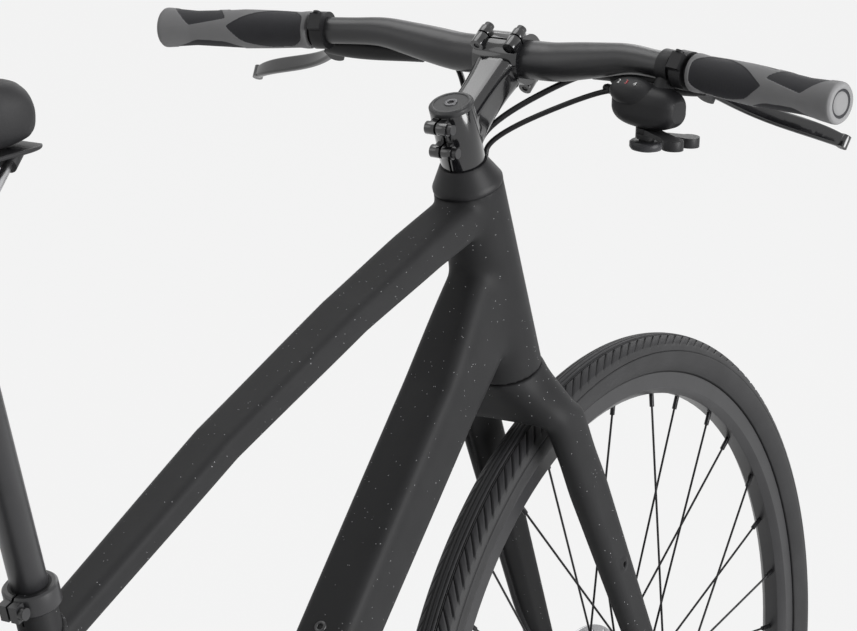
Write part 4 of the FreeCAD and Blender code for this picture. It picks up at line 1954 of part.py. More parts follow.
def cage_plates():
    """Two plates joined by the bolts that carry the two pulleys."""
    guide, tension = guide_centre(), tension_centre(cage_swing)
    run = (tension - guide).normalize()
    half = val.cage_half_gap
    solids = []
    for out in (val.chainline + half, val.chainline - half - val.cage_plate):
        start = guide - LEFTWARD * (out + val.cage_plate)
        block = Part.makeBox(val.cage_length, val.cage_width, val.cage_plate)
        block.Placement = frame_from(start, run, run.cross(LEFTWARD) * -1).multiply(
            Placement(Vector(0, -val.cage_width / 2, 0), Rotation()))
        solids.append(block)
        for centre in (guide, tension):
            spot = centre - LEFTWARD * (out + val.cage_plate)
            solids.append(Part.makeCylinder(val.cage_width / 2, val.cage_plate, spot, LEFTWARD))
    for centre in (guide, tension):
        middle = centre - LEFTWARD * val.chainline
        solids.append(round_bar(middle - LEFTWARD * half, middle + LEFTWARD * half, val.pulley_bolt_radius))
    return solids[0].fuse(solids[1:])


def make_pulleys():
    node("derailleur_cage", shaped("derailleur_cage", main_solid(cage_plates())))
    for name, centre in (("guide_pulley", guide_centre()), ("tension_pulley", tension_centre(cage_swing))):
        place = toothed_place(centre, val.pulley_teeth, val.chainline)
        bore = dim.pulley_bolt_radius + dim.shaft_fit
        wheel = toothed_wheel(f"{name}_wheel", val.pulley_teeth, dim.pulley_thickness, place, bore)
        half = dim.cage_half_gap - dim.moving_gap
        hub = turned(f"{name}_hub", [
            (bore, -half), (bore * 2, -half), (bore * 2, half), (bore, half)], across_frame(
                centre - LEFTWARD * val.chainline))
        node(name, fuse(name, wheel, hub))


# Seat

SADDLE_SHARES = ((0.0, 0.7, 0.55), (0.025, 0.95, 0.75), (0.22, 1.1, 0.82), (0.42, 1.7, 0.88), (0.6, 2.7, 0.95),
                 (0.78, 3.75, 1.0), (0.92, 4.0, 1.0), (0.98, 3.6, 0.9), (1.0, 3.1, 0.7))
SADDLE_CORNER_SHARE = 0.44
SADDLE_BASE_SHARE = 0.86
RAIL_PATH_SHARES = ((0.315, 0.42), (0.14, 1.0), (-0.14, 1.0), (-0.32, 1.6))


def saddle_centre():
    return in_seat(0, 0, val.post_shown + val.rail_clamp_height / 2) - FORWARD * val.seatback_setback


def make_seatpost():
    top = val.post_shown
    tube = round_bar(in_seat(0, 0, top), in_seat(0, 0, top - val.post_length), val.post_radius)
    hollow = round_bar(in_seat(0, 0, top - val.post_head_length), in_seat(0, 0, top - val.post_length),
                       val.post_radius - val.post_wall)
    head = round_bar(in_seat(0, 0, top), in_seat(0, 0, top - val.post_head_length), val.post_head_radius)
    cradle = saddle_room()
    node("seatpost", shaped("seatpost", main_solid(tube.fuse(head).cut([hollow, cradle]))))


def saddle_room():
    """The block of space that the rail clamp fills on top of the post."""
    centre = saddle_centre()
    return centred_block(centre, val.rail_clamp_length * 2, val.rail_clamp_width * 2, val.rail_clamp_height)


def rail_points(side):
    centre = saddle_centre()
    lifts = (val.rail_rise, 0, 0, val.rail_rise)
    return [centre + Vector(along * val.saddle_length, side * out * val.rail_spread, lift)
            for (along, out), lift in zip(RAIL_PATH_SHARES, lifts)]


def make_rails():
    rails = [hose(rail_points(side), val.rail_rise, val.rail_radius) for side in (LEFT, RIGHT)]
    node("saddle_rails", shaped("saddle_rails", Part.makeCompound(rails)))


def make_rail_clamp():
    centre = saddle_centre()
    block = centred_block(centre, val.rail_clamp_length, val.rail_clamp_width,
                          val.rail_clamp_height - 2 * val.seat_gap)
    block = block.makeFillet(val.rail_radius, [edge for edge in block.Edges if upright_edge(edge)])
    grooves = [round_bar(centre + Vector(-val.saddle_length, side * val.rail_spread, 0),
                         centre + Vector(val.saddle_length, side * val.rail_spread, 0),
                         val.rail_radius + val.seat_gap) for side in (LEFT, RIGHT)]
    node("saddle_clamp", shaped("saddle_clamp", main_solid(block.cut(grooves))))


def saddle_stations(low, high, narrow):
    """Sections from nose to tail between two heights, narrowed by a share."""
    nose = saddle_centre() + Vector(val.saddle_length / 2 - val.saddle_setback / 2, 0, 0)
    wires = []
    for along, wide, tall in SADDLE_SHARES:
        width = val.saddle_nose_width * wide * narrow
        height = (high - low) * tall
        centre = nose + Vector(-val.saddle_length * along, 0, low + height / 2)
        wires.append(rounded_section(centre, LEFTWARD, UP, width, height, SADDLE_CORNER_SHARE))
    return wires


def make_saddle():
    low = val.saddle_lift
    cover = loft(saddle_stations(low, low + val.saddle_height, 1))
    node("saddle_cover", shaped("saddle_cover", main_solid(cover)))
    floor = low - val.saddle_base_gap
    base = loft(saddle_stations(floor - val.saddle_base_thickness, floor, SADDLE_BASE_SHARE))
    sockets = []
    for side in (LEFT, RIGHT):
        points = rail_points(side)
        for tip, before in ((points[0], points[1]), (points[-1], points[-2])):
            run = (tip - before).normalize()
            sockets.append((tip - run * val.rail_socket_length / 2, run))
    for start, run in sockets:
        base = base.fuse(Part.makeCylinder(val.rail_socket_radius, val.rail_socket_length, start, run))
    space = [hose(rail_points(side), val.rail_rise, val.rail_radius + val.seat_gap) for side in (LEFT, RIGHT)]
    above = centred_block(saddle_centre() + UP * (floor + val.saddle_length / 2), 2 * val.saddle_length,
                          2 * val.saddle_length, val.saddle_length)
    node("saddle_base", shaped("saddle_base", main_solid(base.cut(space + [above]))))


FRAME_MAKERS = (make_head_tube, make_headset_bearings, make_top_tube, make_down_tube, make_seat_tube,
                make_bracket_shell, make_chainstays, make_seatstays, make_seat_clamp)
STEERING_MAKERS = (make_fork, make_headset_cover, make_top_cap, make_stem, make_faceplate, make_stem_bolts,
                   make_handlebar, make_brake_levers, make_shifter, make_brake_hoses, make_shift_housing)
WHEEL_MAKERS = (make_wheels, make_calipers, make_rear_cables)
DRIVE_MAKERS = (make_chain, make_cassette, make_chainring, make_cranks, make_pedals, make_bottom_bracket,
                make_derailleur, make_pulleys)
SEAT_MAKERS = (make_seatpost, make_rails, make_rail_clamp, make_saddle)

make_grip("left_grip", LEFT)
make_grip("right_grip", RIGHT)
for maker in FRAME_MAKERS + STEERING_MAKERS + WHEEL_MAKERS + DRIVE_MAKERS + SEAT_MAKERS:
    maker()
doc.recompute()


def check_and_export():
    """Stops on any broken feature, then writes each sub-part to its own file."""
    for item in doc.Objects:
        if {"Invalid", "Error"} & set(item.State):
            raise SystemExit(f"{item.Name} is broken: {item.State}")
    os.makedirs("parts", exist_ok=True)
    for item in sub_parts:
        if item.Shape.isNull() or not item.Shape.isValid():
            raise SystemExit(f"{item.Label} has no valid shape")
        item.Shape.exportStep(f"parts/{item.Label}.step")


check_and_export()
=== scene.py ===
import json
import math

import bmesh
import bpy
import numpy as np
from mathutils import Matrix, Vector
from mathutils.bvhtree import BVHTree


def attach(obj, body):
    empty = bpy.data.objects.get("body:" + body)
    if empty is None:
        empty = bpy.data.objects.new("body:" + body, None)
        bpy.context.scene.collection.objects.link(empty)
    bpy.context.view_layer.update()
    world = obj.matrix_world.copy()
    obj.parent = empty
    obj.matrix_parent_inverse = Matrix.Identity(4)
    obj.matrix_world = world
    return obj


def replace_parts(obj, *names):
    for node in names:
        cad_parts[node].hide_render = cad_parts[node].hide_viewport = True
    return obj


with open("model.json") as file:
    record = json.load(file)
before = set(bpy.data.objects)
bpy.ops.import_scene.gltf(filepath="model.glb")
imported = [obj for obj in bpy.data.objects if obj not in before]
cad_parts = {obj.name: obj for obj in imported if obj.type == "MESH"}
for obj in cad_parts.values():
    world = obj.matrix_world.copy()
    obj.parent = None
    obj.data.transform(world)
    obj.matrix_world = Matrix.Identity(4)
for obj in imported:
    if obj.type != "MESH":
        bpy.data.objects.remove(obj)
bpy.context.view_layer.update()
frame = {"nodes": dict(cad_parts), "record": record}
NODES = frame["nodes"]
MM = 0.001

# Camera, matched to the photograph's frame
CAMERA_SPOT = (-2.1964, -1.6133, 1.5532)
CAMERA_YAW, CAMERA_DIP, CAMERA_ROLL = 33.283, 14.586, -0.503
CAMERA_LENS, SENSOR_WIDTH = 159.3, 36.0
PAGE_GREY = 0.905


def make_camera():
    data = bpy.data.cameras.new("camera")
    data.lens, data.sensor_width, data.sensor_fit = CAMERA_LENS, SENSOR_WIDTH, "HORIZONTAL"
    data.clip_start, data.clip_end = 0.05, 60.0
    camera = bpy.data.objects.new("camera", data)
    bpy.context.scene.collection.objects.link(camera)
    yaw, dip = math.radians(CAMERA_YAW), math.radians(CAMERA_DIP)
    ahead = Vector((math.cos(yaw) * math.cos(dip), math.sin(yaw) * math.cos(dip), -math.sin(dip)))
    turn = ahead.to_track_quat("-Z", "Y").to_matrix() @ Matrix.Rotation(math.radians(CAMERA_ROLL), 3, "Z")
    camera.matrix_world = Matrix.Translation(CAMERA_SPOT) @ turn.to_4x4()
    bpy.context.scene.camera = camera


def node_tree(name):
    material = bpy.data.materials.new(name)
    material.use_nodes = True
    tree = material.node_tree
    tree.nodes.clear()
    return material, tree


def add_node(tree, kind, **settings):
    made = tree.nodes.new(kind)
    for key, value in settings.items():
        if key in made.inputs:
            made.inputs[key].default_value = value
        else:
            setattr(made, key, value)
    return made


def page_ray(tree):
    """One for the rays that see the page: from the camera, from gloss and through glass."""
    path = add_node(tree, "ShaderNodeLightPath")
    first = add_node(tree, "ShaderNodeMath", operation="MAXIMUM")
    second = add_node(tree, "ShaderNodeMath", operation="MAXIMUM")
    tree.links.new(path.outputs["Is Camera Ray"], first.inputs[0])
    tree.links.new(path.outputs["Is Glossy Ray"], first.inputs[1])
    tree.links.new(first.outputs[0], second.inputs[0])
    tree.links.new(path.outputs["Is Transmission Ray"], second.inputs[1])
    return second.outputs[0]


def make_world():
    world = bpy.data.worlds.new("studio")
    bpy.context.scene.world = world
    world.use_nodes = True
    tree = world.node_tree
    tree.nodes.clear()
    page = add_node(tree, "ShaderNodeBackground", Color=(PAGE_GREY, PAGE_GREY, PAGE_GREY, 1), Strength=1.0)
    fill = add_node(tree, "ShaderNodeBackground", Color=(1, 1, 1, 1), Strength=FILL_STRENGTH)
    mix = add_node(tree, "ShaderNodeMixShader")
    out = add_node(tree, "ShaderNodeOutputWorld")
    tree.links.new(page_ray(tree), mix.inputs[0])
    tree.links.new(fill.outputs[0], mix.inputs[1])
    tree.links.new(page.outputs[0], mix.inputs[2])
    tree.links.new(mix.outputs[0], out.inputs[0])


def make_floor():
    material, tree = node_tree("floor_paper")
    matte = add_node(tree, "ShaderNodeBsdfDiffuse", Color=(0.8, 0.8, 0.8, 1))
    page = add_node(tree, "ShaderNodeEmission", Color=(PAGE_GREY, PAGE_GREY, PAGE_GREY, 1), Strength=1.0)
    share = add_node(tree, "ShaderNodeMath", operation="MULTIPLY")
    share.inputs[1].default_value = FLOOR_PAGE_SHARE
    mix = add_node(tree, "ShaderNodeMixShader")
    out = add_node(tree, "ShaderNodeOutputMaterial")
    tree.links.new(page_ray(tree), share.inputs[0])
    tree.links.new(share.outputs[0], mix.inputs[0])
    tree.links.new(matte.outputs[0], mix.inputs[1])
    tree.links.new(page.outputs[0], mix.inputs[2])
    tree.links.new(mix.outputs[0], out.inputs[0])
    mesh = bpy.data.meshes.new("floor")
    half, low = 30.0, -0.0005
    corners = [(-half, -half, low), (half, -half, low), (half, half, low), (-half, half, low)]
    mesh.from_pydata(corners, [], [(0, 1, 2, 3)])
    floor = bpy.data.objects.new("floor", mesh)
    mesh.materials.append(material)
    bpy.context.scene.collection.objects.link(floor)


FILL_STRENGTH = 0.16
FLOOR_PAGE_SHARE = 0.98
# Lamps: place, aim, size in metres and power in watts
LAMPS = {
    "key_lamp": ((0.3, -3.8, 1.3), (0.2, 0.0, 0.75), 2.8, 215.0),
    "left_lamp": ((-2.6, 2.8, 2.6), (0.2, 0.0, 0.8), 2.6, 16.0),
    "front_lamp": ((3.4, 0.6, 2.8), (0.3, 0.0, 0.8), 2.6, 40.0),
    "top_lamp": ((0.3, 1.2, 4.4), (0.1, 0.0, 0.8), 3.0, 60.0),
}


def make_lamps():
    for name, (spot, aim, size, power) in LAMPS.items():
        data = bpy.data.lights.new(name, "AREA")
        data.energy, data.size, data.shape = power, size, "DISK"
        lamp = bpy.data.objects.new(name, data)
        lamp.location = spot
        lamp.rotation_euler = (Vector(aim) - Vector(spot)).to_track_quat("-Z", "Y").to_euler()
        bpy.context.scene.collection.objects.link(lamp)


# Materials

BLOTCH_SCALE = 40.0


def surface(name, colour, rough, metal=0.0, coat=0.0, vary=0.12, grain=1500.0, bump=0.05, specks=None,
            **more):
    """A finish with a slow colour change, a fine grain in roughness and bump, and specks if asked for."""
    material, tree = node_tree(name)
    shader = add_node(tree, "ShaderNodeBsdfPrincipled", **{"Metallic": metal, "Coat Weight": coat}, **more)
    out = add_node(tree, "ShaderNodeOutputMaterial")
    tree.links.new(shader.outputs[0], out.inputs[0])
    spot = add_node(tree, "ShaderNodeTexCoord").outputs["Object"]
    slow = noise(tree, spot, BLOTCH_SCALE, 3.0)
    ramp = two_tone(tree, slow, [c * (1 - vary) for c in colour], [c * (1 + vary) for c in colour])
    base = ramp.outputs[0]
    fine = noise(tree, spot, grain, 2.0)
    if specks:
        base = speckled(tree, spot, base, *specks)
    tree.links.new(base, shader.inputs["Base Color"])
    spread = add_node(tree, "ShaderNodeMapRange")
    tree.links.new(fine, spread.inputs["Value"])
    spread.inputs["To Min"].default_value = max(rough - 0.06, 0.02)
    spread.inputs["To Max"].default_value = min(rough + 0.06, 1.0)
    tree.links.new(spread.outputs[0], shader.inputs["Roughness"])
    if bump:
        relief = add_node(tree, "ShaderNodeBump", Strength=bump, Distance=0.0004)
        tree.links.new(fine, relief.inputs["Height"])
        tree.links.new(relief.outputs[0], shader.inputs["Normal"])
    return material


def noise(tree, spot, scale, detail):
    made = add_node(tree, "ShaderNodeTexNoise", Scale=scale, Detail=detail)
    tree.links.new(spot, made.inputs["Vector"])
    return made.outputs[0]


def two_tone(tree, value, low, high):
    ramp = add_node(tree, "ShaderNodeValToRGB")
    ramp.color_ramp.elements[0].position, ramp.color_ramp.elements[1].position = 0.3, 0.7
    ramp.color_ramp.elements[0].color = (*low, 1)
    ramp.color_ramp.elements[1].color = (*high, 1)
    tree.links.new(value, ramp.inputs[0])
    return ramp


def speckled(tree, spot, base, scale, share, colour):
    """Small bright flakes: the middles of a share of the cells of a fine cell pattern."""
    cells = add_node(tree, "ShaderNodeTexVoronoi", Scale=scale)
    tree.links.new(spot, cells.inputs["Vector"])
    near = add_node(tree, "ShaderNodeMath", operation="LESS_THAN")
    near.inputs[1].default_value = 0.17
    tree.links.new(cells.outputs["Distance"], near.inputs[0])
    parted = add_node(tree, "ShaderNodeSeparateColor")
    tree.links.new(cells.outputs["Color"], parted.inputs[0])
    few = add_node(tree, "ShaderNodeMath", operation="LESS_THAN")
    few.inputs[1].default_value = share
    tree.links.new(parted.outputs[0], few.inputs[0])
    both = add_node(tree, "ShaderNodeMath", operation="MULTIPLY")
    tree.links.new(near.outputs[0], both.inputs[0])
    tree.links.new(few.outputs[0], both.inputs[1])
    blend = add_node(tree, "ShaderNodeMix", data_type="RGBA")
    tree.links.new(both.outputs[0], blend.inputs["Factor"])
    tree.links.new(base, blend.inputs[6])
    blend.inputs[7].default_value = (*colour, 1)
    return blend.outputs[2]


DULL = {"Specular IOR Level": 0.26}
MATTE = {"Specular IOR Level": 0.1}
# Finishes: base colour, roughness, and what differs from the usual
FINISHES = {
    "frame_paint": ((0.0205, 0.0206, 0.0214), 0.5,
        {"vary": 0.06, "grain": 1800, "bump": 0.02, "specks": (560.0, 0.05, (0.5, 0.5, 0.52)), **MATTE}),
    "black_alloy": ((0.018, 0.018, 0.0195), 0.36, {"grain": 2600, "bump": 0.03}),
    "gloss_black": ((0.006, 0.006, 0.007), 0.16, {"coat": 0.6, "bump": 0.006}),
    "black_plastic": ((0.011, 0.011, 0.012), 0.48, {"grain": 2400, "bump": 0.12, **DULL}),
    "pod_plastic": ((0.030, 0.030, 0.033), 0.42, {"grain": 2400, "bump": 0.08, **DULL}),
    "hose_plastic": ((0.007, 0.007, 0.008), 0.36, {"bump": 0.03, **DULL}),
    "grip_rubber": ((0.20, 0.20, 0.203), 0.7, {"vary": 0.05, "grain": 2800, "bump": 0.15, **DULL}),
    "grip_panel": ((0.022, 0.022, 0.025), 0.62, {"vary": 0.1, "grain": 2600, "bump": 0.2, **DULL}),
    "tyre_rubber": ((0.0125, 0.0125, 0.0138), 0.62, {"bump": 0.12, **DULL}),
    # Painted shade: a near-black rubber for the faces inside the grooves and sipes, where shade falls
    "groove_painted_shade": ((0.003, 0.003, 0.0035), 0.8, {"bump": 0.1, **DULL}),
    "sidewall_rubber": ((0.024, 0.024, 0.025), 0.6, {"bump": 0.08, **DULL}),
    "spoke_black": ((0.010, 0.010, 0.011), 0.3, {"metal": 0.3, "grain": 3000, "bump": 0.02, **DULL}),
    "steel": ((0.46, 0.46, 0.47), 0.3, {"metal": 1.0, "grain": 2200, "bump": 0.05}),
    "dark_steel": ((0.12, 0.12, 0.125), 0.34, {"metal": 1.0, "grain": 2200, "bump": 0.05}),
    "saddle_fabric": ((0.012, 0.012, 0.013), 0.58, {"grain": 700, "bump": 0.35, **DULL}),
    "red_mark": ((0.45, 0.012, 0.02), 0.35, {"bump": 0.02}),
    "white_mark": ((0.72, 0.72, 0.72), 0.45, {"bump": 0.02}),
}


def make_finishes():
    return {name: surface(name, colour, rough, **more) for name, (colour, rough, more) in FINISHES.items()}


def dress_frame(finishes):
    """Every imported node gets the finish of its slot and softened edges."""
    slots = {row["node"]: row["material_slot"] for row in frame["record"]["subparts"]}
    for name, item in NODES.items():
        item.data.materials.clear()
        item.data.materials.append(finishes[HIDDEN_FINISHES.get(name, slots[name])])
        soften(item, EDGE_WIDTHS.get(name, 0.5) * MM)


# Pieces that only show as a dark joint line
HIDDEN_FINISHES = {"headset_bearings": "black_alloy"}
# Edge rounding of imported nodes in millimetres, where it isn't half a millimetre
EDGE_WIDTHS = {
    "chain": 0.12, "cassette": 0.15, "chainring": 0.2, "front_spokes": 0, "rear_spokes": 0,
    "front_rotor": 0.15, "rear_rotor": 0.15, "guide_pulley": 0.2, "tension_pulley": 0.2,
    "headset_bearings": 0.2}


def soften(item, width):
    weld = item.modifiers.new("weld", "WELD")
    weld.merge_threshold = 1e-6
    if width:
        bevel = item.modifiers.new("edges", "BEVEL")
        bevel.width, bevel.segments, bevel.limit_method = width, 2, "ANGLE"
        bevel.angle_limit = math.radians(32)
        bevel.harden_normals = False
    bpy.context.view_layer.objects.active = item


# Mesh helpers

def quads(rows, columns, close_rows=False, close_columns=True):
    """The faces of a grid of points given row by row."""
    row = np.arange(rows if close_rows else rows - 1)
    column = np.arange(columns if close_columns else columns - 1)
    first, second = np.meshgrid(row, column, indexing="ij")
    next_row, next_column = (first + 1) % rows, (second + 1) % columns
    corners = (first * columns + second, first * columns + next_column, next_row * columns + next_column,
               next_row * columns + second)
    return np.stack(corners, -1).reshape(-1, 4)


def place_mesh(name, points, faces, materials, body, indices=None):
    """A smooth-shaded piece that rides on a body."""
    mesh = bpy.data.meshes.new(name)
    spots = [tuple(map(float, spot)) for spot in points]
    mesh.from_pydata(spots, [], [tuple(map(int, face)) for face in faces])
    for material in materials:
        mesh.materials.append(material)
    mesh.polygons.foreach_set("use_smooth", [True] * len(mesh.polygons))
    if indices is not None:
        mesh.polygons.foreach_set("material_index", np.asarray(indices, np.int32))
    mesh.validate()
    mesh.update()
    item = bpy.data.objects.new(name, mesh)
    bpy.context.scene.collection.objects.link(item)
    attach(item, body)
    return item


def fix_outward(item):
    made = bmesh.new()
    made.from_mesh(item.data)
    bmesh.ops.recalc_face_normals(made, faces=made.faces)
    made.to_mesh(item.data)
    made.free()


def smooth_step(value, low, high):
    share = np.clip((np.asarray(value, float) - low) / (high - low), 0, 1)
    return share * share * (3 - 2 * share)


# Tyres: a slick crown with thin grooves and feathered shoulders, with painted shade in the grooves

TYRE_RADIUS, TYRE_SECTION, BEAD_TURN = 0.349, 0.019, 137.0
TREAD_PITCHES, TREAD_STEPS = 160, (0.0, 0.08, 0.2, 0.28, 0.46, 0.64, 0.82)
SIPE_STEPS = (1, 2)
CROWN_GROOVES = (6.5, 17.0)
SIPE_BAND, SIPE_SLANT, SIPE_DEPTH = (21.0, 58.0), 1.7, 1.4 * MM
SIDE_RING, TYRE_WALL = 74.0, 2.4 * MM


def tyre_columns():
    """Section angles in degrees from the crown with their depths, close together at each groove's walls."""
    marks = []
    for centre in CROWN_GROOVES + (SIPE_BAND[0], SIDE_RING):
        for side in (-1, 1):
            for step, depth in ((-1.5, 0.0), (-0.9, 1.3), (0.9, 1.3), (1.5, 0.0)):
                marks.append((side * centre + step, depth * MM))
    plain = [(turn, 0.0) for turn in np.linspace(-BEAD_TURN, BEAD_TURN, 57)
             if min(abs(turn - mark) for mark, depth in marks) > 1.4]
    return sorted(marks + plain)


def make_tyre(name, axle, body):
    columns = tyre_columns()
    turns = np.radians([turn for turn, depth in columns])
    depths = np.array([depth for turn, depth in columns])
    across = np.abs(np.degrees(turns))
    in_band = (across > SIPE_BAND[0] + 2) & (across < SIPE_BAND[1])
    slant = SIPE_SLANT * TYRE_SECTION * np.clip(np.radians(across - SIPE_BAND[0]), 0, None) / TYRE_RADIUS
    rings = []
    for pitch in range(TREAD_PITCHES):
        for index, step in enumerate(TREAD_STEPS):
            around = 2 * math.pi * (pitch + step) / TREAD_PITCHES + slant
            fade = smooth_step(across, SIPE_BAND[1], SIPE_BAND[1] - 6)
            sunk = np.where(in_band & (index in SIPE_STEPS), SIPE_DEPTH * fade, 0.0)
            rings.append(tyre_ring(axle, turns, around, TYRE_SECTION - np.maximum(depths, sunk)))
    inner = np.linspace(turns[-1], turns[0], 13)
    count = len(rings)
    for index in range(count):
        pitch, step = divmod(index, len(TREAD_STEPS))
        around = 2 * math.pi * (pitch + TREAD_STEPS[step]) / TREAD_PITCHES
        lining = tyre_ring(axle, inner, around, TYRE_SECTION - TYRE_WALL)
        rings[index] = np.concatenate([rings[index], lining])
    points = np.concatenate(rings)
    shade = tyre_shades(across, depths, in_band, count, len(rings[0]))
    # The second rubber is painted shade for the groove faces
    rubbers = [finishes[kind] for kind in ("tyre_rubber", "groove_painted_shade", "sidewall_rubber")]
    faces = quads(count, len(rings[0]), close_rows=True)
    item = place_mesh(name, points, faces, rubbers, body, shade)
    fix_outward(item)
    return item


def tyre_shades(across, depths, in_band, rings, columns):
    """Which rubber each face has: tread, groove darkened as painted shade, or plain sidewall."""
    shade = np.zeros((rings, columns), int)
    outer = len(across)
    shade[:, :outer] = np.where(across > SIPE_BAND[1], 2, 0)
    steps = np.arange(rings) % len(TREAD_STEPS)
    # Painted shade: the sipe faces and the crown groove faces take the darker groove rubber
    shade[np.ix_(steps == SIPE_STEPS[0], np.flatnonzero(in_band))] = 1
    groove = (depths > 0) & (np.roll(depths, -1) > 0)
    shade[:, np.flatnonzero(groove)] = 1
    return shade.ravel()


def tyre_ring(axle, turns, around, section):
    middle = TYRE_RADIUS - TYRE_SECTION
    radius = middle + section * np.cos(turns)
    around = np.broadcast_to(around, turns.shape)
    return np.stack([axle[0] + radius * np.cos(around), axle[1] + section * np.sin(turns),
                     axle[2] + radius * np.sin(around)], -1)


# Grips: a grey web over charcoal panels

GRIP_LENGTH = 0.141
BAR_END, BAR_AWAY = (0.34707, 0.3216, 0.979253), (-0.147005, 0.987798, -0.051428)
GRIP_PROFILE = (
    (0.0, 11.3), (0.002, 15.4), (0.03, 15.7), (0.08, 15.0), (0.25, 15.9), (0.45, 16.5), (0.62, 15.7),
    (0.78, 15.0), (0.9, 16.2), (0.97, 16.9), (0.99, 16.7), (0.998, 15.6), (1.0, 14.6))
GRIP_ROWS, GRIP_COLUMNS = 283, 180
# Panels: corners as shares of the grip's length and degrees from the top to the front, and the relief
GRIP_PANELS = (
    (((0.034, -112), (0.034, -40), (0.1, -4), (0.22, 4), (0.38, -26), (0.535, -74), (0.42, -124),
      (0.25, -152), (0.1, -148)), "rib"),
    (((0.05, 66), (0.14, 36), (0.3, 20), (0.48, -30), (0.57, -2), (0.54, 80), (0.3, 142), (0.1, 136)), "rib"),
    (((0.52, -46), (0.6, -4), (0.68, 58), (0.88, 58), (0.925, 0), (0.9, -18), (0.79, -72)), "dot"),
    (((0.44, -150), (0.54, -124), (0.74, -120), (0.91, -162), (0.92, -200), (0.62, -214), (0.46, -190)),
     "dot"),
    (((0.6, 104), (0.7, 82), (0.87, 88), (0.87, 124), (0.68, 128)), "dot"),
)
GRIP_AROUND, CORNER_SOFTNESS = 0.016, 0.8 * MM


def panel_depth(share, turn, corners):
    """How far inside a panel's outline each point lies, in metres, with the corners eased."""
    outline = np.array(corners, float) * (GRIP_LENGTH, math.radians(1) * GRIP_AROUND)
    middle = outline.mean(axis=0)
    offset = (turn - math.degrees(middle[1] / GRIP_AROUND) + 180) % 360 - 180
    spot = np.stack([share * GRIP_LENGTH, np.radians(offset) * GRIP_AROUND + middle[1]], -1)
    total = np.zeros(share.shape)
    for first, second in zip(outline, np.roll(outline, -1, axis=0)):
        run = (second - first) / np.linalg.norm(second - first)
        inward = np.array([-run[1], run[0]])
        if (middle - first) @ inward < 0:
            inward = -inward
        total += np.exp(-np.clip((spot - first) @ inward / CORNER_SOFTNESS, -40, 40))
    return -np.log(total) * CORNER_SOFTNESS


def make_grip(name, side):
    end, away = Vector(BAR_END), Vector(BAR_AWAY)
    if side < 0:
        end.y, away.y = -end.y, -away.y
    upward = (Vector((0, 0, 1)) - away * away.z).normalized()
    backward = upward.cross(away) * side
    share = np.linspace(0, 1, GRIP_ROWS)
    radius = np.interp(share, *zip(*GRIP_PROFILE)) * MM
    radius = np.convolve(np.pad(radius, 2, "edge"), np.ones(5) / 5, "valid")
    turn = np.arange(GRIP_COLUMNS) * 360 / GRIP_COLUMNS
    grid, angle = np.meshgrid(share, turn, indexing="ij")
    lift, dark = np.zeros_like(grid), np.zeros_like(grid, bool)
    for corners, kind in GRIP_PANELS:
        inside = panel_depth(grid, angle, corners)
        lift -= smooth_step(inside, -0.3 * MM, 0.5 * MM) * 0.5 * MM
        wave = np.cos(grid * GRIP_LENGTH / (1.5 * MM) * 2 * math.pi)
        if kind == "dot":
            wave = np.cos(grid * GRIP_LENGTH / (2.0 * MM) * 2 * math.pi) * np.cos(np.radians(angle) * 45)
        lift += smooth_step(inside, 0.6 * MM, 1.2 * MM) * wave * 0.17 * MM
        dark |= inside > 0.0
    reach = radius[:, None] + lift
    turned = np.radians(angle)
    start = end - away * GRIP_LENGTH
    points = (np.array(start) + grid[..., None] * GRIP_LENGTH * np.array(away)
              + (reach * np.cos(turned))[..., None] * np.array(upward)
              - (reach * np.sin(turned))[..., None] * np.array(backward))
    faces = quads(GRIP_ROWS, GRIP_COLUMNS)
    shade = dark[:-1, :].reshape(-1).astype(int)
    points, faces, shade = close_end(points, faces, shade, end, away)
    rubbers = [finishes["grip_rubber"], finishes["grip_panel"]]
    item = place_mesh(name, points, faces, rubbers, "steering", shade)
    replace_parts(item, name[:-6])
    fix_outward(item)


# Rings of the grip's end cap: radius, rise along the bar and whether it is charcoal, in millimetres
CAP_RINGS = ((13.6, 0.0, 0), (11.6, -0.2, 0), (11.2, -0.9, 1), (9.4, -0.9, 1), (9.0, -0.3, 0), (5.0, -0.1, 0))


def close_end(points, faces, shade, end, away):
    """Adds the stepped flat end with its dark ring; the other end, turned in to the bar by the profile, stays
    open.
    """
    last = points[-1]
    middle = np.array(end)
    rows = [points.reshape(-1, 3)]
    start = len(rows[0]) - GRIP_COLUMNS
    ring_faces, ring_shade = [], []
    for radius, rise, dark in CAP_RINGS:
        spokes = last - middle
        spokes -= np.outer(spokes @ np.array(away), np.array(away))
        spokes /= np.linalg.norm(spokes, axis=1)[:, None]
        rows.append(middle + spokes * radius * MM + np.array(away) * rise * MM)
        ring_faces.append(quads(2, GRIP_COLUMNS) + start)
        ring_shade.append(np.full(GRIP_COLUMNS, dark))
        start += GRIP_COLUMNS
    cap = [list(range(start, start + GRIP_COLUMNS))]
    joined = np.concatenate([faces] + ring_faces).tolist() + cap
    return np.concatenate(rows), joined, np.concatenate([shade] + ring_shade + [[0]])


# Hoses: smooth splines through the same routes as the solids

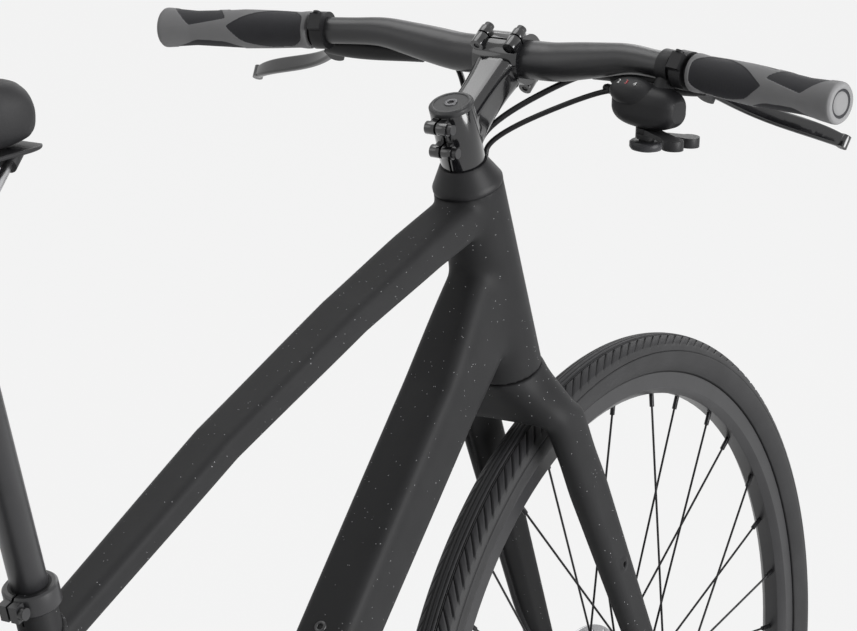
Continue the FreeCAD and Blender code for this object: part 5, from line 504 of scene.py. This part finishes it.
HOSE_WIDTH, HOUSING_WIDTH = 0.005, 0.0044
HOSE_ROUTES = {
    "left_brake_hose": ("steering", HOSE_WIDTH, (
        (0.398731, 0.071754, 0.969017), (0.399952, 0.057817, 0.968505),
        (0.340794, 0.009, 0.922262), (0.33248, 0.006996, 0.899749),
        (0.347188, 0.006996, 0.85775))),
    "right_brake_hose": ("steering", HOSE_WIDTH, (
        (0.398731, -0.071754, 0.969017), (0.399952, -0.057817, 0.968505),
        (0.34386, 0.0, 0.928633), (0.333884, 0.0, 0.90024),
        (0.348592, 0.0, 0.858241))),
    "shift_housing_line": ("steering", HOUSING_WIDTH, (
        (0.376561, -0.105481, 0.962187), (0.382207, -0.092687, 0.962853),
        (0.340794, -0.009, 0.922262), (0.33248, -0.006996, 0.899749),
        (0.347188, -0.006996, 0.85775))),
    "front_brake_hose": ("steering", HOSE_WIDTH, (
        (0.381278, 0.043538, 0.65655), (0.410592, 0.04625, 0.599809),
        (0.448415, 0.04975, 0.526596), (0.490021, 0.0536, 0.446062),
        (0.496621, 0.0347, 0.424861), (0.501248, 0.0347, 0.411648))),
    "rear_brake_hose": ("main_frame", HOSE_WIDTH, (
        (-0.251245, 0.039487, 0.315353), (-0.338327, 0.049612, 0.329353),
        (-0.39493, 0.05805, 0.338453), (-0.433707, 0.0632, 0.35127),
        (-0.461353, 0.0632, 0.355715))),
    "derailleur_housing": ("main_frame", HOUSING_WIDTH, (
        (-0.514959, -0.0776, 0.34195), (-0.5585, -0.084, 0.3366),
        (-0.64955, -0.084, 0.3366), (-0.64955, -0.084, 0.319),
        (-0.58155, -0.084, 0.319))),
}
HOSE_NODES = {"left_brake_hose": "brake_hoses", "shift_housing_line": "shift_cable_housing",
              "rear_brake_hose": "rear_cables"}


def make_hoses():
    for name, (body, width, route) in HOSE_ROUTES.items():
        curve = bpy.data.curves.new(name, "CURVE")
        curve.dimensions, curve.bevel_depth, curve.bevel_resolution = "3D", width / 2, 4
        curve.use_fill_caps = True
        spline = curve.splines.new("NURBS")
        spline.points.add(len(route) - 1)
        for point, spot in zip(spline.points, route):
            point.co = (*spot, 1.0)
        spline.use_endpoint_u = True
        spline.order_u = 3
        spline.resolution_u = 16
        curve.materials.append(finishes["hose_plastic"])
        item = bpy.data.objects.new(name, curve)
        bpy.context.scene.collection.objects.link(item)
        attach(item, body)
        if name in HOSE_NODES:
            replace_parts(item, HOSE_NODES[name])


# Frame and fork skins: the joined tubes with their smooth blends

HEAD_BOTTOM, HEAD_TOP = (0.379291, 0.0, 0.718537), (0.321121, 0.0, 0.884646)
STEER_UP, STEER_AHEAD = (-0.330514, 0.0, 0.943801), (0.943801, 0.0, 0.330514)
HEAD_LOW_RADIUS, HEAD_HIGH_RADIUS = 0.0294, 0.0288
SEAT_TOP, SEAT_UP = (-0.249064, 0.0, 0.708403), (-0.281504, 0.0, 0.95956)
BRACKET = (-0.123091, 0.0, 0.279)
TOP_UPRIGHT, DOWN_UPRIGHT = (-0.341861, 0.0, 0.939751), (-0.735288, 0.0, 0.677755)
# Tube stations: centre, upright direction, width and height in millimetres, and squareness, 2 for an ellipse
TOP_STATIONS = (
    ((0.328062, 0.0, 0.864826), TOP_UPRIGHT, 43.0, 36.0, 3.2),
    ((0.246369, 0.0, 0.844076), TOP_UPRIGHT, 41.74, 30.75, 4.2),
    ((0.142714, 0.0, 0.813609), TOP_UPRIGHT, 40.12, 27.6, 4.0),
    ((-0.026598, 0.0, 0.753358), TOP_UPRIGHT, 37.42, 25.71, 3.6),
    ((-0.234876, 0.0, 0.660041), TOP_UPRIGHT, 34.0, 25.5, 2.8))
DOWN_STATIONS = (
    ((0.35252, 0.0, 0.794984), STEER_UP, 46.0, 91.0, 2.8),
    ((0.276708, 0.0, 0.715281), DOWN_UPRIGHT, 52.0, 57.5, 4.4),
    ((0.0623, 0.0, 0.489867), DOWN_UPRIGHT, 52.0, 52.0, 4.4),
    ((-0.131179, 0.0, 0.286455), DOWN_UPRIGHT, 56.0, 42.0, 3.0))
SKIN_VOXEL, FORK_VOXEL = 1.6 * MM, 1.3 * MM
SIDEWAYS = np.array((0.0, 1.0, 0.0))


def section(station, count=96):
    """The rim of one tube station, as points round its centre."""
    centre, upright, width, height, square = station
    turn = np.arange(count) * 2 * math.pi / count
    across, tall = np.cos(turn), np.sin(turn)
    across = np.sign(across) * np.abs(across) ** (2 / square) * width * MM / 2
    tall = np.sign(tall) * np.abs(tall) ** (2 / square) * height * MM / 2
    return np.array(centre) + np.outer(across, SIDEWAYS) + np.outer(tall, np.array(upright))


def mixed(first, second, share):
    return np.array(first) * (1 - share) + np.array(second) * share


def between(stations, steps=24):
    """Stations close together, eased from each given one to the next."""
    rows = []
    for first, second in zip(stations, stations[1:]):
        for share in np.linspace(0, 1, steps, endpoint=False):
            eased = float(smooth_step(share, 0, 1)) * 0.5 + share * 0.5
            centre, upright = (mixed(first[k], second[k], share) for k in (0, 1))
            rows.append((centre, upright / np.linalg.norm(upright),
                         *(float(mixed(first[k], second[k], eased)) for k in (2, 3, 4))))
    return rows + [stations[-1]]


def trim_to_pipe(points, run, spot, axis, radius):
    """Moves points along a run to the near side of a pipe, or beside its axis where they miss it."""
    run, axis = np.array(run), np.array(axis)
    flat_run = run - axis * (run @ axis)
    reach = np.linalg.norm(flat_run)
    flat_run = flat_run / reach
    off = points - np.array(spot)
    off = off - np.outer(off @ axis, axis)
    ahead = off @ flat_run
    aside = np.linalg.norm(off - np.outer(ahead, flat_run), axis=1)
    stop = -np.sqrt(np.clip(radius ** 2 - aside ** 2, 0, None))
    return points + np.outer((stop - ahead) / reach, run)


def tube_rows(stations, pipe_spot, pipe_axis, pipe_radius):
    """The rings of a tube whose last end follows the pipe that it meets, closed at both ends."""
    rows = [section(station) for station in between(stations)]
    run = np.array(stations[-1][0]) - np.array(stations[-2][0])
    run = run / np.linalg.norm(run)
    gap = trim_to_pipe(rows[-1], run, pipe_spot, pipe_axis, pipe_radius)
    keep = [row for row in rows[:-1] if ((gap - row) @ run).min() > 4 * MM]
    middle = np.array(stations[-1][0])
    caps = [trim_to_pipe(middle + (rows[-1] - middle) * size, run, pipe_spot, pipe_axis, pipe_radius)
            for size in (1, 0.8, 0.6, 0.4, 0.2, 0.02)]
    start = np.array(stations[0][0])
    first = [start + (rows[0] - start) * size for size in (0.02, 0.5)]
    return np.array(first + keep + caps)


def head_rows(count=96):
    turn = np.arange(count) * 2 * math.pi / count
    rim = np.outer(np.cos(turn), SIDEWAYS) + np.outer(np.sin(turn), np.array(STEER_AHEAD))
    low, high = np.array(HEAD_BOTTOM), np.array(HEAD_TOP)
    rows = [low + rim * HEAD_LOW_RADIUS * 0.02]
    for share in np.linspace(0, 1, 40):
        rows.append(low * (1 - share) + high * share
                    + rim * (HEAD_LOW_RADIUS * (1 - share) + HEAD_HIGH_RADIUS * share))
    return np.array(rows + [high + rim * HEAD_HIGH_RADIUS * 0.02])


def closed_mesh(rows):
    """Points and faces of rings with a cap at each end."""
    count, around = rows.shape[:2]
    faces = quads(count, around).tolist()
    faces.append(list(range(around))[::-1])
    faces.append([(count - 1) * around + step for step in range(around)])
    return rows.reshape(-1, 3), faces


def remeshed(name, points, faces, voxel):
    """Points, edges and faces of the closed forms joined into one even skin."""
    mesh = bpy.data.meshes.new(name)
    mesh.from_pydata([tuple(spot) for spot in points.tolist()], [], faces)
    item = bpy.data.objects.new(name, mesh)
    bpy.context.scene.collection.objects.link(item)
    fix_outward(item)
    return voxel_skin(item, voxel)


def voxel_skin(item, voxel):
    change = item.modifiers.new("skin", "REMESH")
    change.mode, change.voxel_size, change.adaptivity = "VOXEL", voxel, 0.0
    view = bpy.context.evaluated_depsgraph_get()
    even = bpy.data.meshes.new_from_object(item.evaluated_get(view))
    spots, edges = np.empty(len(even.vertices) * 3), np.empty(len(even.edges) * 2, np.int64)
    even.vertices.foreach_get("co", spots)
    even.edges.foreach_get("vertices", edges)
    faces = [tuple(face.vertices) for face in even.polygons]
    bpy.data.objects.remove(item)
    bpy.data.meshes.remove(even)
    return spots.reshape(-1, 3), edges.reshape(-1, 2), faces


def neighbour_pull(points, edges):
    first, second = edges.T
    count = len(points)
    near = np.bincount(edges.ravel(), minlength=count)
    total = np.zeros_like(points)
    for k in range(3):
        total[:, k] = np.bincount(first, points[second, k], count)
        total[:, k] += np.bincount(second, points[first, k], count)
    return total / np.maximum(near, 1)[:, None] - points


def outward_at(points, faces):
    corners = points[faces]
    across = np.cross(corners[:, 2] - corners[:, 0], corners[:, 3] - corners[:, 1])
    total = np.zeros_like(points)
    for corner in range(4):
        for k in range(3):
            total[:, k] += np.bincount(faces[:, corner], across[:, k], len(points))
    return total / np.maximum(np.linalg.norm(total, axis=1), 1e-12)[:, None]


def fill_creases(points, edges, faces, weight, rounds):
    """Lets the hollows between tubes fill up, and leaves every ridge as it is."""
    faces = np.array([face if len(face) == 4 else face + face[-1:] for face in faces])
    for turn in range(rounds):
        pull = neighbour_pull(points, edges)
        outward = outward_at(points, faces)
        rise = np.clip(np.einsum("ij,ij->i", pull, outward), 0, None)
        points = points + outward * (rise * weight * 0.8)[:, None]
    return points


def relax(points, edges, weight, rounds):
    for turn in range(rounds):
        points = points + neighbour_pull(points, edges) * (weight * 0.5)[:, None]
    return points


def nearest(points, forms):
    """Each point's distance to each of the forms."""
    rows = []
    for spots, faces in forms:
        tree = BVHTree.FromPolygons([tuple(spot) for spot in spots.tolist()], faces)
        rows.append([tree.find_nearest(Vector(spot))[3] for spot in points.tolist()])
    return np.array(rows)


def make_frame_skin():
    forms = [closed_mesh(head_rows()), closed_mesh(tube_rows(TOP_STATIONS, SEAT_TOP, SEAT_UP, 0.0151)),
             closed_mesh(tube_rows(DOWN_STATIONS, BRACKET, SIDEWAYS, 0.0212))]
    points, faces, start = [], [], 0
    for spots, sides in forms:
        points.append(spots)
        faces += [[corner + start for corner in side] for side in sides]
        start += len(spots)
    points, edges, faces = remeshed("frame_forms", np.concatenate(points), faces, SKIN_VOXEL)
    second = np.sort(nearest(points, forms), axis=0)[1]
    height = (points - np.array(HEAD_BOTTOM)) @ np.array(STEER_UP)
    clear = smooth_step(height, 0.5 * MM, 5 * MM) * smooth_step(-height, -176 * MM, -174 * MM)
    reach = (1 - smooth_step(second, 8 * MM, 26 * MM)) * clear
    points = fill_creases(points, edges, faces, reach, 110)
    points = relax(points, edges, np.minimum(0.25 + reach, 0.9) * clear, 6)
    item = place_mesh("frame_tubes", points, faces, [finishes["frame_paint"]], "main_frame")
    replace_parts(item, "head_tube", "top_tube", "down_tube")


def make_fork_skin():
    source = NODES["fork"]
    item = bpy.data.objects.new("fork_forms", source.data.copy())
    bpy.context.scene.collection.objects.link(item)
    points, edges, faces = voxel_skin(item, FORK_VOXEL)
    height = (points - np.array(HEAD_BOTTOM)) @ np.array(STEER_UP)
    around = points - np.array(HEAD_BOTTOM) - np.outer(height, np.array(STEER_UP))
    ahead = np.linalg.norm(around, axis=1)
    shoulder = smooth_step(-height, 4 * MM, 12 * MM) * (1 - smooth_step(-height, 80 * MM, 130 * MM))
    weight = shoulder * smooth_step(ahead, 15 * MM, 19 * MM)
    points = fill_creases(points, edges, faces, weight, 60)
    points = relax(points, edges, weight, 140)
    points = relax(points, edges, np.full(len(points), 0.25), 3)
    item = place_mesh("fork_skin", points, faces, [finishes["frame_paint"]], "steering")
    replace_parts(item, "fork")


# Weld beads round a tube's end, and the bottle bosses

def bead(name, loop, radius, body, ripple=2.4 * MM, around=12):
    """A rippled weld along a closed loop of points."""
    loop = np.asarray(loop)
    step = np.linalg.norm(np.roll(loop, -1, axis=0) - loop, axis=1)
    travel = np.concatenate([[0], np.cumsum(step)])
    count = int(travel[-1] / (ripple / 6)) // 6 * 6
    spots = np.linspace(0, travel[-1], count, endpoint=False)
    closed = np.concatenate([loop, loop[:1]])
    path = np.stack([np.interp(spots, travel, closed[:, k]) for k in range(3)], -1)
    ahead = np.roll(path, -2, axis=0) - np.roll(path, 2, axis=0)
    ahead /= np.linalg.norm(ahead, axis=1)[:, None]
    out = path - path.mean(axis=0)
    out -= np.einsum("ij,ij->i", out, ahead)[:, None] * ahead
    out /= np.linalg.norm(out, axis=1)[:, None]
    side = np.cross(ahead, out)
    swell = radius * (1 + 0.07 * np.cos(np.arange(count) * 2 * math.pi / 6))
    turn = np.arange(around) * 2 * math.pi / around
    points = (path[:, None] + swell[:, None, None] * (np.cos(turn)[None, :, None] * out[:, None]
                                                     + np.sin(turn)[None, :, None] * side[:, None]))
    faces = quads(count, around, close_rows=True)
    item = place_mesh(name, points.reshape(-1, 3), faces, [finishes["frame_paint"]], body)
    fix_outward(item)
    return item


LEAST_RADIUS = 0.01


def lathe(name, spot, axis, profile, slot, body, around=48, finish=None):
    """A turned piece: a closed profile of (radius, height) in millimetres round an axis."""
    axis = Vector(axis).normalized()
    side = axis.orthogonal().normalized()
    third = axis.cross(side)
    turn = np.arange(around) * 2 * math.pi / around
    rim = np.outer(np.cos(turn), np.array(side)) + np.outer(np.sin(turn), np.array(third))
    rows = [np.array(spot) + np.array(axis) * height * MM + rim * max(radius, LEAST_RADIUS) * MM
            for radius, height in profile]
    faces = quads(len(rows), around, close_rows=True)
    item = place_mesh(name, np.concatenate(rows), faces, [finishes[finish or slot]], body)
    fix_outward(item)
    return item


BOSSES = (((0.059236, 0.0, 0.525527), DOWN_UPRIGHT), ((0.103345, 0.0, 0.5719), DOWN_UPRIGHT))
BOSS_PROFILE = ((2.5, -6.0), (2.5, 0.5), (3.0, 1.0), (4.5, 1.0), (5.2, 0.3), (5.2, -6.0))


def make_frame_details():
    for index, (spot, out) in enumerate(BOSSES):
        lathe(f"bottle_boss_{index + 1}", spot, out, BOSS_PROFILE, "black_alloy", "main_frame")
    last = TOP_STATIONS[-1]
    run = np.array(last[0]) - np.array(TOP_STATIONS[-2][0])
    run = run / np.linalg.norm(run)
    foot = section((last[0], last[1], last[2] + 1.0, last[3] + 1.0, last[4]))
    bead("top_tube_weld", trim_to_pipe(foot, run, SEAT_TOP, SEAT_UP, 0.0162), 2.5 * MM, "main_frame")


# Saddle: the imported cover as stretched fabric, blown up a little over its foam

SADDLE_VOXEL, SADDLE_CAP, SADDLE_START_SHARE = 5 * MM, 5 * MM, 0.965
SADDLE_FRAMES, SADDLE_PRESSURE = 20, 4.0


def make_saddle():
    form = bpy.data.objects.new("saddle_form", NODES["saddle_cover"].data.copy())
    bpy.context.scene.collection.objects.link(form)
    points, edges, faces = voxel_skin(form, SADDLE_VOXEL)
    points = relax(points, edges, np.full(len(points), 0.6), 4)
    low = points[:, 2].min()
    middle = (points.min(axis=0) + points.max(axis=0)) / 2
    points = middle + (points - middle) * SADDLE_START_SHARE
    item = place_mesh("saddle_padding", points, faces, [finishes["saddle_fabric"]], "seat")
    blow_up(item, points, low)
    fine = item.modifiers.new("fine", "SUBSURF")
    fine.levels = fine.render_levels = 1
    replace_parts(item, "saddle_cover")


def blow_up(item, start, low):
    """Swells a closed piece by cloth pressure, caps how far it moves and keeps its flat underside."""
    cloth = item.modifiers.new("swell", "CLOTH")
    cloth.settings.use_pressure = True
    cloth.settings.uniform_pressure_force = SADDLE_PRESSURE
    cloth.settings.effector_weights.gravity = 0.0
    cloth.point_cache.frame_end = SADDLE_FRAMES
    scene = bpy.context.scene
    for step in range(1, SADDLE_FRAMES + 1):
        scene.frame_set(step)
    swollen = item.evaluated_get(bpy.context.evaluated_depsgraph_get()).to_mesh()
    spots = np.empty(len(start) * 3)
    swollen.vertices.foreach_get("co", spots)
    item.to_mesh_clear()
    move = spots.reshape(-1, 3) - start
    far = np.linalg.norm(move, axis=1)
    spots = start + move * np.minimum(1, SADDLE_CAP / np.maximum(far, 1e-9))[:, None]
    spots[:, 2] = np.maximum(spots[:, 2], low)
    item.modifiers.remove(cloth)
    item.data.vertices.foreach_set("co", spots.ravel())
    item.data.update()
    scene.frame_set(1)


# Small pieces on the controls, the stem and the fork

CAP_TOP = (0.296184, 0.0, 0.955855)
CAP_RING = ((2.6, -0.6), (2.6, 0.5), (3.0, 0.9), (5.0, 0.9), (5.5, 0.5), (5.5, -0.6))
CAP_EDGE = ((14.2, -0.3), (14.2, 0.35), (14.6, 0.5), (16.2, 0.5), (16.6, 0.2), (16.6, -0.3))
# A thin dark hexagonal plate in the bolt's socket, painted shade standing in for the shaded hole: radius and
# height in millimetres
SOCKET_SHADE = ((0.0, 0.06), (2.7, 0.06), (2.7, -0.4), (0.0, -0.4))
BOOT = (
    (2.6, 0.0), (3.5, 0.2), (3.5, 6.0), (2.9, 6.5), (3.9, 7.2), (3.9, 8.0), (2.9, 8.6), (3.8, 9.3),
    (3.8, 10.0), (2.9, 10.6), (3.7, 11.3), (3.7, 12.0), (2.9, 12.6), (2.9, 14.5), (2.6, 14.8))
CLIP_SPOT, CLIP_REACH = (0.421939, 0.0473, 0.577845), 3.4 * MM
CLIP_RING = ((2.6, -3.5), (2.6, 3.5), (4.3, 3.5), (4.3, -3.5))
CLIP_BOLT = (
    (0.0, 0.0), (2.2, 0.0), (2.2, 4.5), (3.2, 4.7), (3.2, 7.6), (2.7, 8.0), (1.3, 8.0), (1.3, 6.6),
    (0.0, 6.6))


def make_small_pieces():
    lathe("top_cap_edge", CAP_TOP, STEER_UP, CAP_EDGE, "black_alloy", "steering", 72)
    lathe("top_cap_bolt", CAP_TOP, STEER_UP, CAP_RING, "dark_steel", "steering")
    # Painted shade: a dark hexagon in place of the shade inside the bolt's socket
    lathe("top_cap_socket_shade", CAP_TOP, STEER_UP, SOCKET_SHADE, "hose_plastic", "steering", 6)
    for name in ("left_brake_hose", "right_brake_hose", "shift_housing_line"):
        route = HOSE_ROUTES[name][2]
        ahead = Vector(route[1]) - Vector(route[0])
        lathe(f"{name}_boot", route[0], ahead, BOOT, "black_plastic", "steering")
    front = HOSE_ROUTES["front_brake_hose"][2]
    lathe("hose_clip", CLIP_SPOT, Vector(front[2]) - Vector(front[1]), CLIP_RING, "black_plastic", "steering")
    out = (Vector(STEER_AHEAD) * -0.8 + Vector((0, 0.6, 0))).normalized()
    lathe("hose_clip_bolt", Vector(CLIP_SPOT) + out * CLIP_REACH, out, CLIP_BOLT, "dark_steel", "steering")


# Shifter: gear window with plain numbers, and the cover under the levers

POD_SPOT = (0.358909, -0.145333, 0.957388)
POD_AXES = ((0.989136, -0.146806, -0.007643), (0.147005, 0.987798, 0.051428), (0.0, -0.051992, 0.998647))
LOBE_AT, LOBE_SIZE = (-7.0, 10.0, 10.0), (13.5, 22.0, 12.0)
WINDOW_LEAN, POLE_GAP = 52.0, 0.01
DIGITS = (("2", 12.0), ("3", 4.0), ("4", -4.0))
DIGIT_HEIGHT = 4.2
COVER = (
    (0.0, -28.0), (12.0, -28.0), (13.5, -29.2), (13.5, -33.0), (12.2, -35.0), (8.0, -36.2), (0.0, -36.4))


def in_pod(forward, inboard, up):
    place = Vector(POD_SPOT)
    for axis, size in zip(POD_AXES, (forward, inboard, up)):
        place += Vector(axis) * size * MM
    return place


def make_shifter_details():
    rows, around = 24, 48
    turn = np.arange(around) * 2 * math.pi / around
    turn, rise = np.meshgrid(turn, np.linspace(POLE_GAP, math.pi - POLE_GAP, rows))
    ball = np.stack([np.cos(turn) * np.sin(rise), np.sin(turn) * np.sin(rise), np.cos(rise)], -1)
    local = ball * np.array(LOBE_SIZE) + np.array(LOBE_AT)
    points = (np.array(POD_SPOT) + local @ np.array(POD_AXES) * MM).reshape(-1, 3)
    plastic = finishes["black_plastic"]
    item = place_mesh("gear_window", points, quads(rows, around), [plastic], "steering")
    fix_outward(item)
    lathe("shifter_cover", in_pod(0, 0, 0), POD_AXES[2], COVER, "black_plastic", "steering",
          finish="pod_plastic")
    for digit, inboard in DIGITS:
        make_digit(digit, inboard)


def make_digit(digit, inboard):
    """A flat numeral on the gear window, facing the rider; the gear in use is red."""
    lean = math.radians(WINDOW_LEAN)
    side = (inboard - 3.0) / LOBE_SIZE[1]
    out = math.sqrt(1 - side * side)
    spot = in_pod(LOBE_AT[0] - LOBE_SIZE[0] * out * math.cos(lean) - 0.2, LOBE_AT[1] + inboard - 3.0,
                  LOBE_AT[2] + LOBE_SIZE[2] * out * math.sin(lean) + 0.2)
    rightward = -Vector(POD_AXES[1])
    facing = Vector(POD_AXES[2]) * math.sin(lean) - Vector(POD_AXES[0]) * math.cos(lean)
    upward = facing.cross(rightward)
    text = bpy.data.curves.new(f"gear_{digit}", "FONT")
    text.body, text.size, text.extrude = digit, DIGIT_HEIGHT * MM * 1.35, 0.1 * MM
    text.align_x, text.align_y = "CENTER", "CENTER"
    shape = bpy.data.objects.new(f"gear_{digit}_text", text)
    bpy.context.scene.collection.objects.link(shape)
    mesh = bpy.data.meshes.new_from_object(shape.evaluated_get(bpy.context.evaluated_depsgraph_get()))
    bpy.data.objects.remove(shape)
    turn = Matrix((rightward, upward, facing)).transposed()
    points = [spot + turn @ vertex.co for vertex in mesh.vertices]
    faces = [tuple(face.vertices) for face in mesh.polygons]
    colour = finishes["red_mark"] if digit == "3" else finishes["white_mark"]
    place_mesh(f"gear_number_{digit}", points, faces, [colour], "steering")
    bpy.data.meshes.remove(mesh)


make_camera()
make_world()
make_floor()
make_lamps()
bpy.context.scene.view_settings.view_transform = "Standard"
finishes = make_finishes()
dress_frame(finishes)
for side, name in ((1, "left_grip"), (-1, "right_grip")):
    make_grip(f"{name}_cover", side)
make_hoses()
make_frame_skin()
make_fork_skin()
make_frame_details()
make_saddle()
make_small_pieces()
make_shifter_details()
for name, x, body in (("front_tyre", 0.5585, "front_wheel"), ("rear_tyre", -0.5585, "rear_wheel")):
    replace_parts(make_tyre(f"{name}_tread", (x, 0.0, TYRE_RADIUS), body), name)
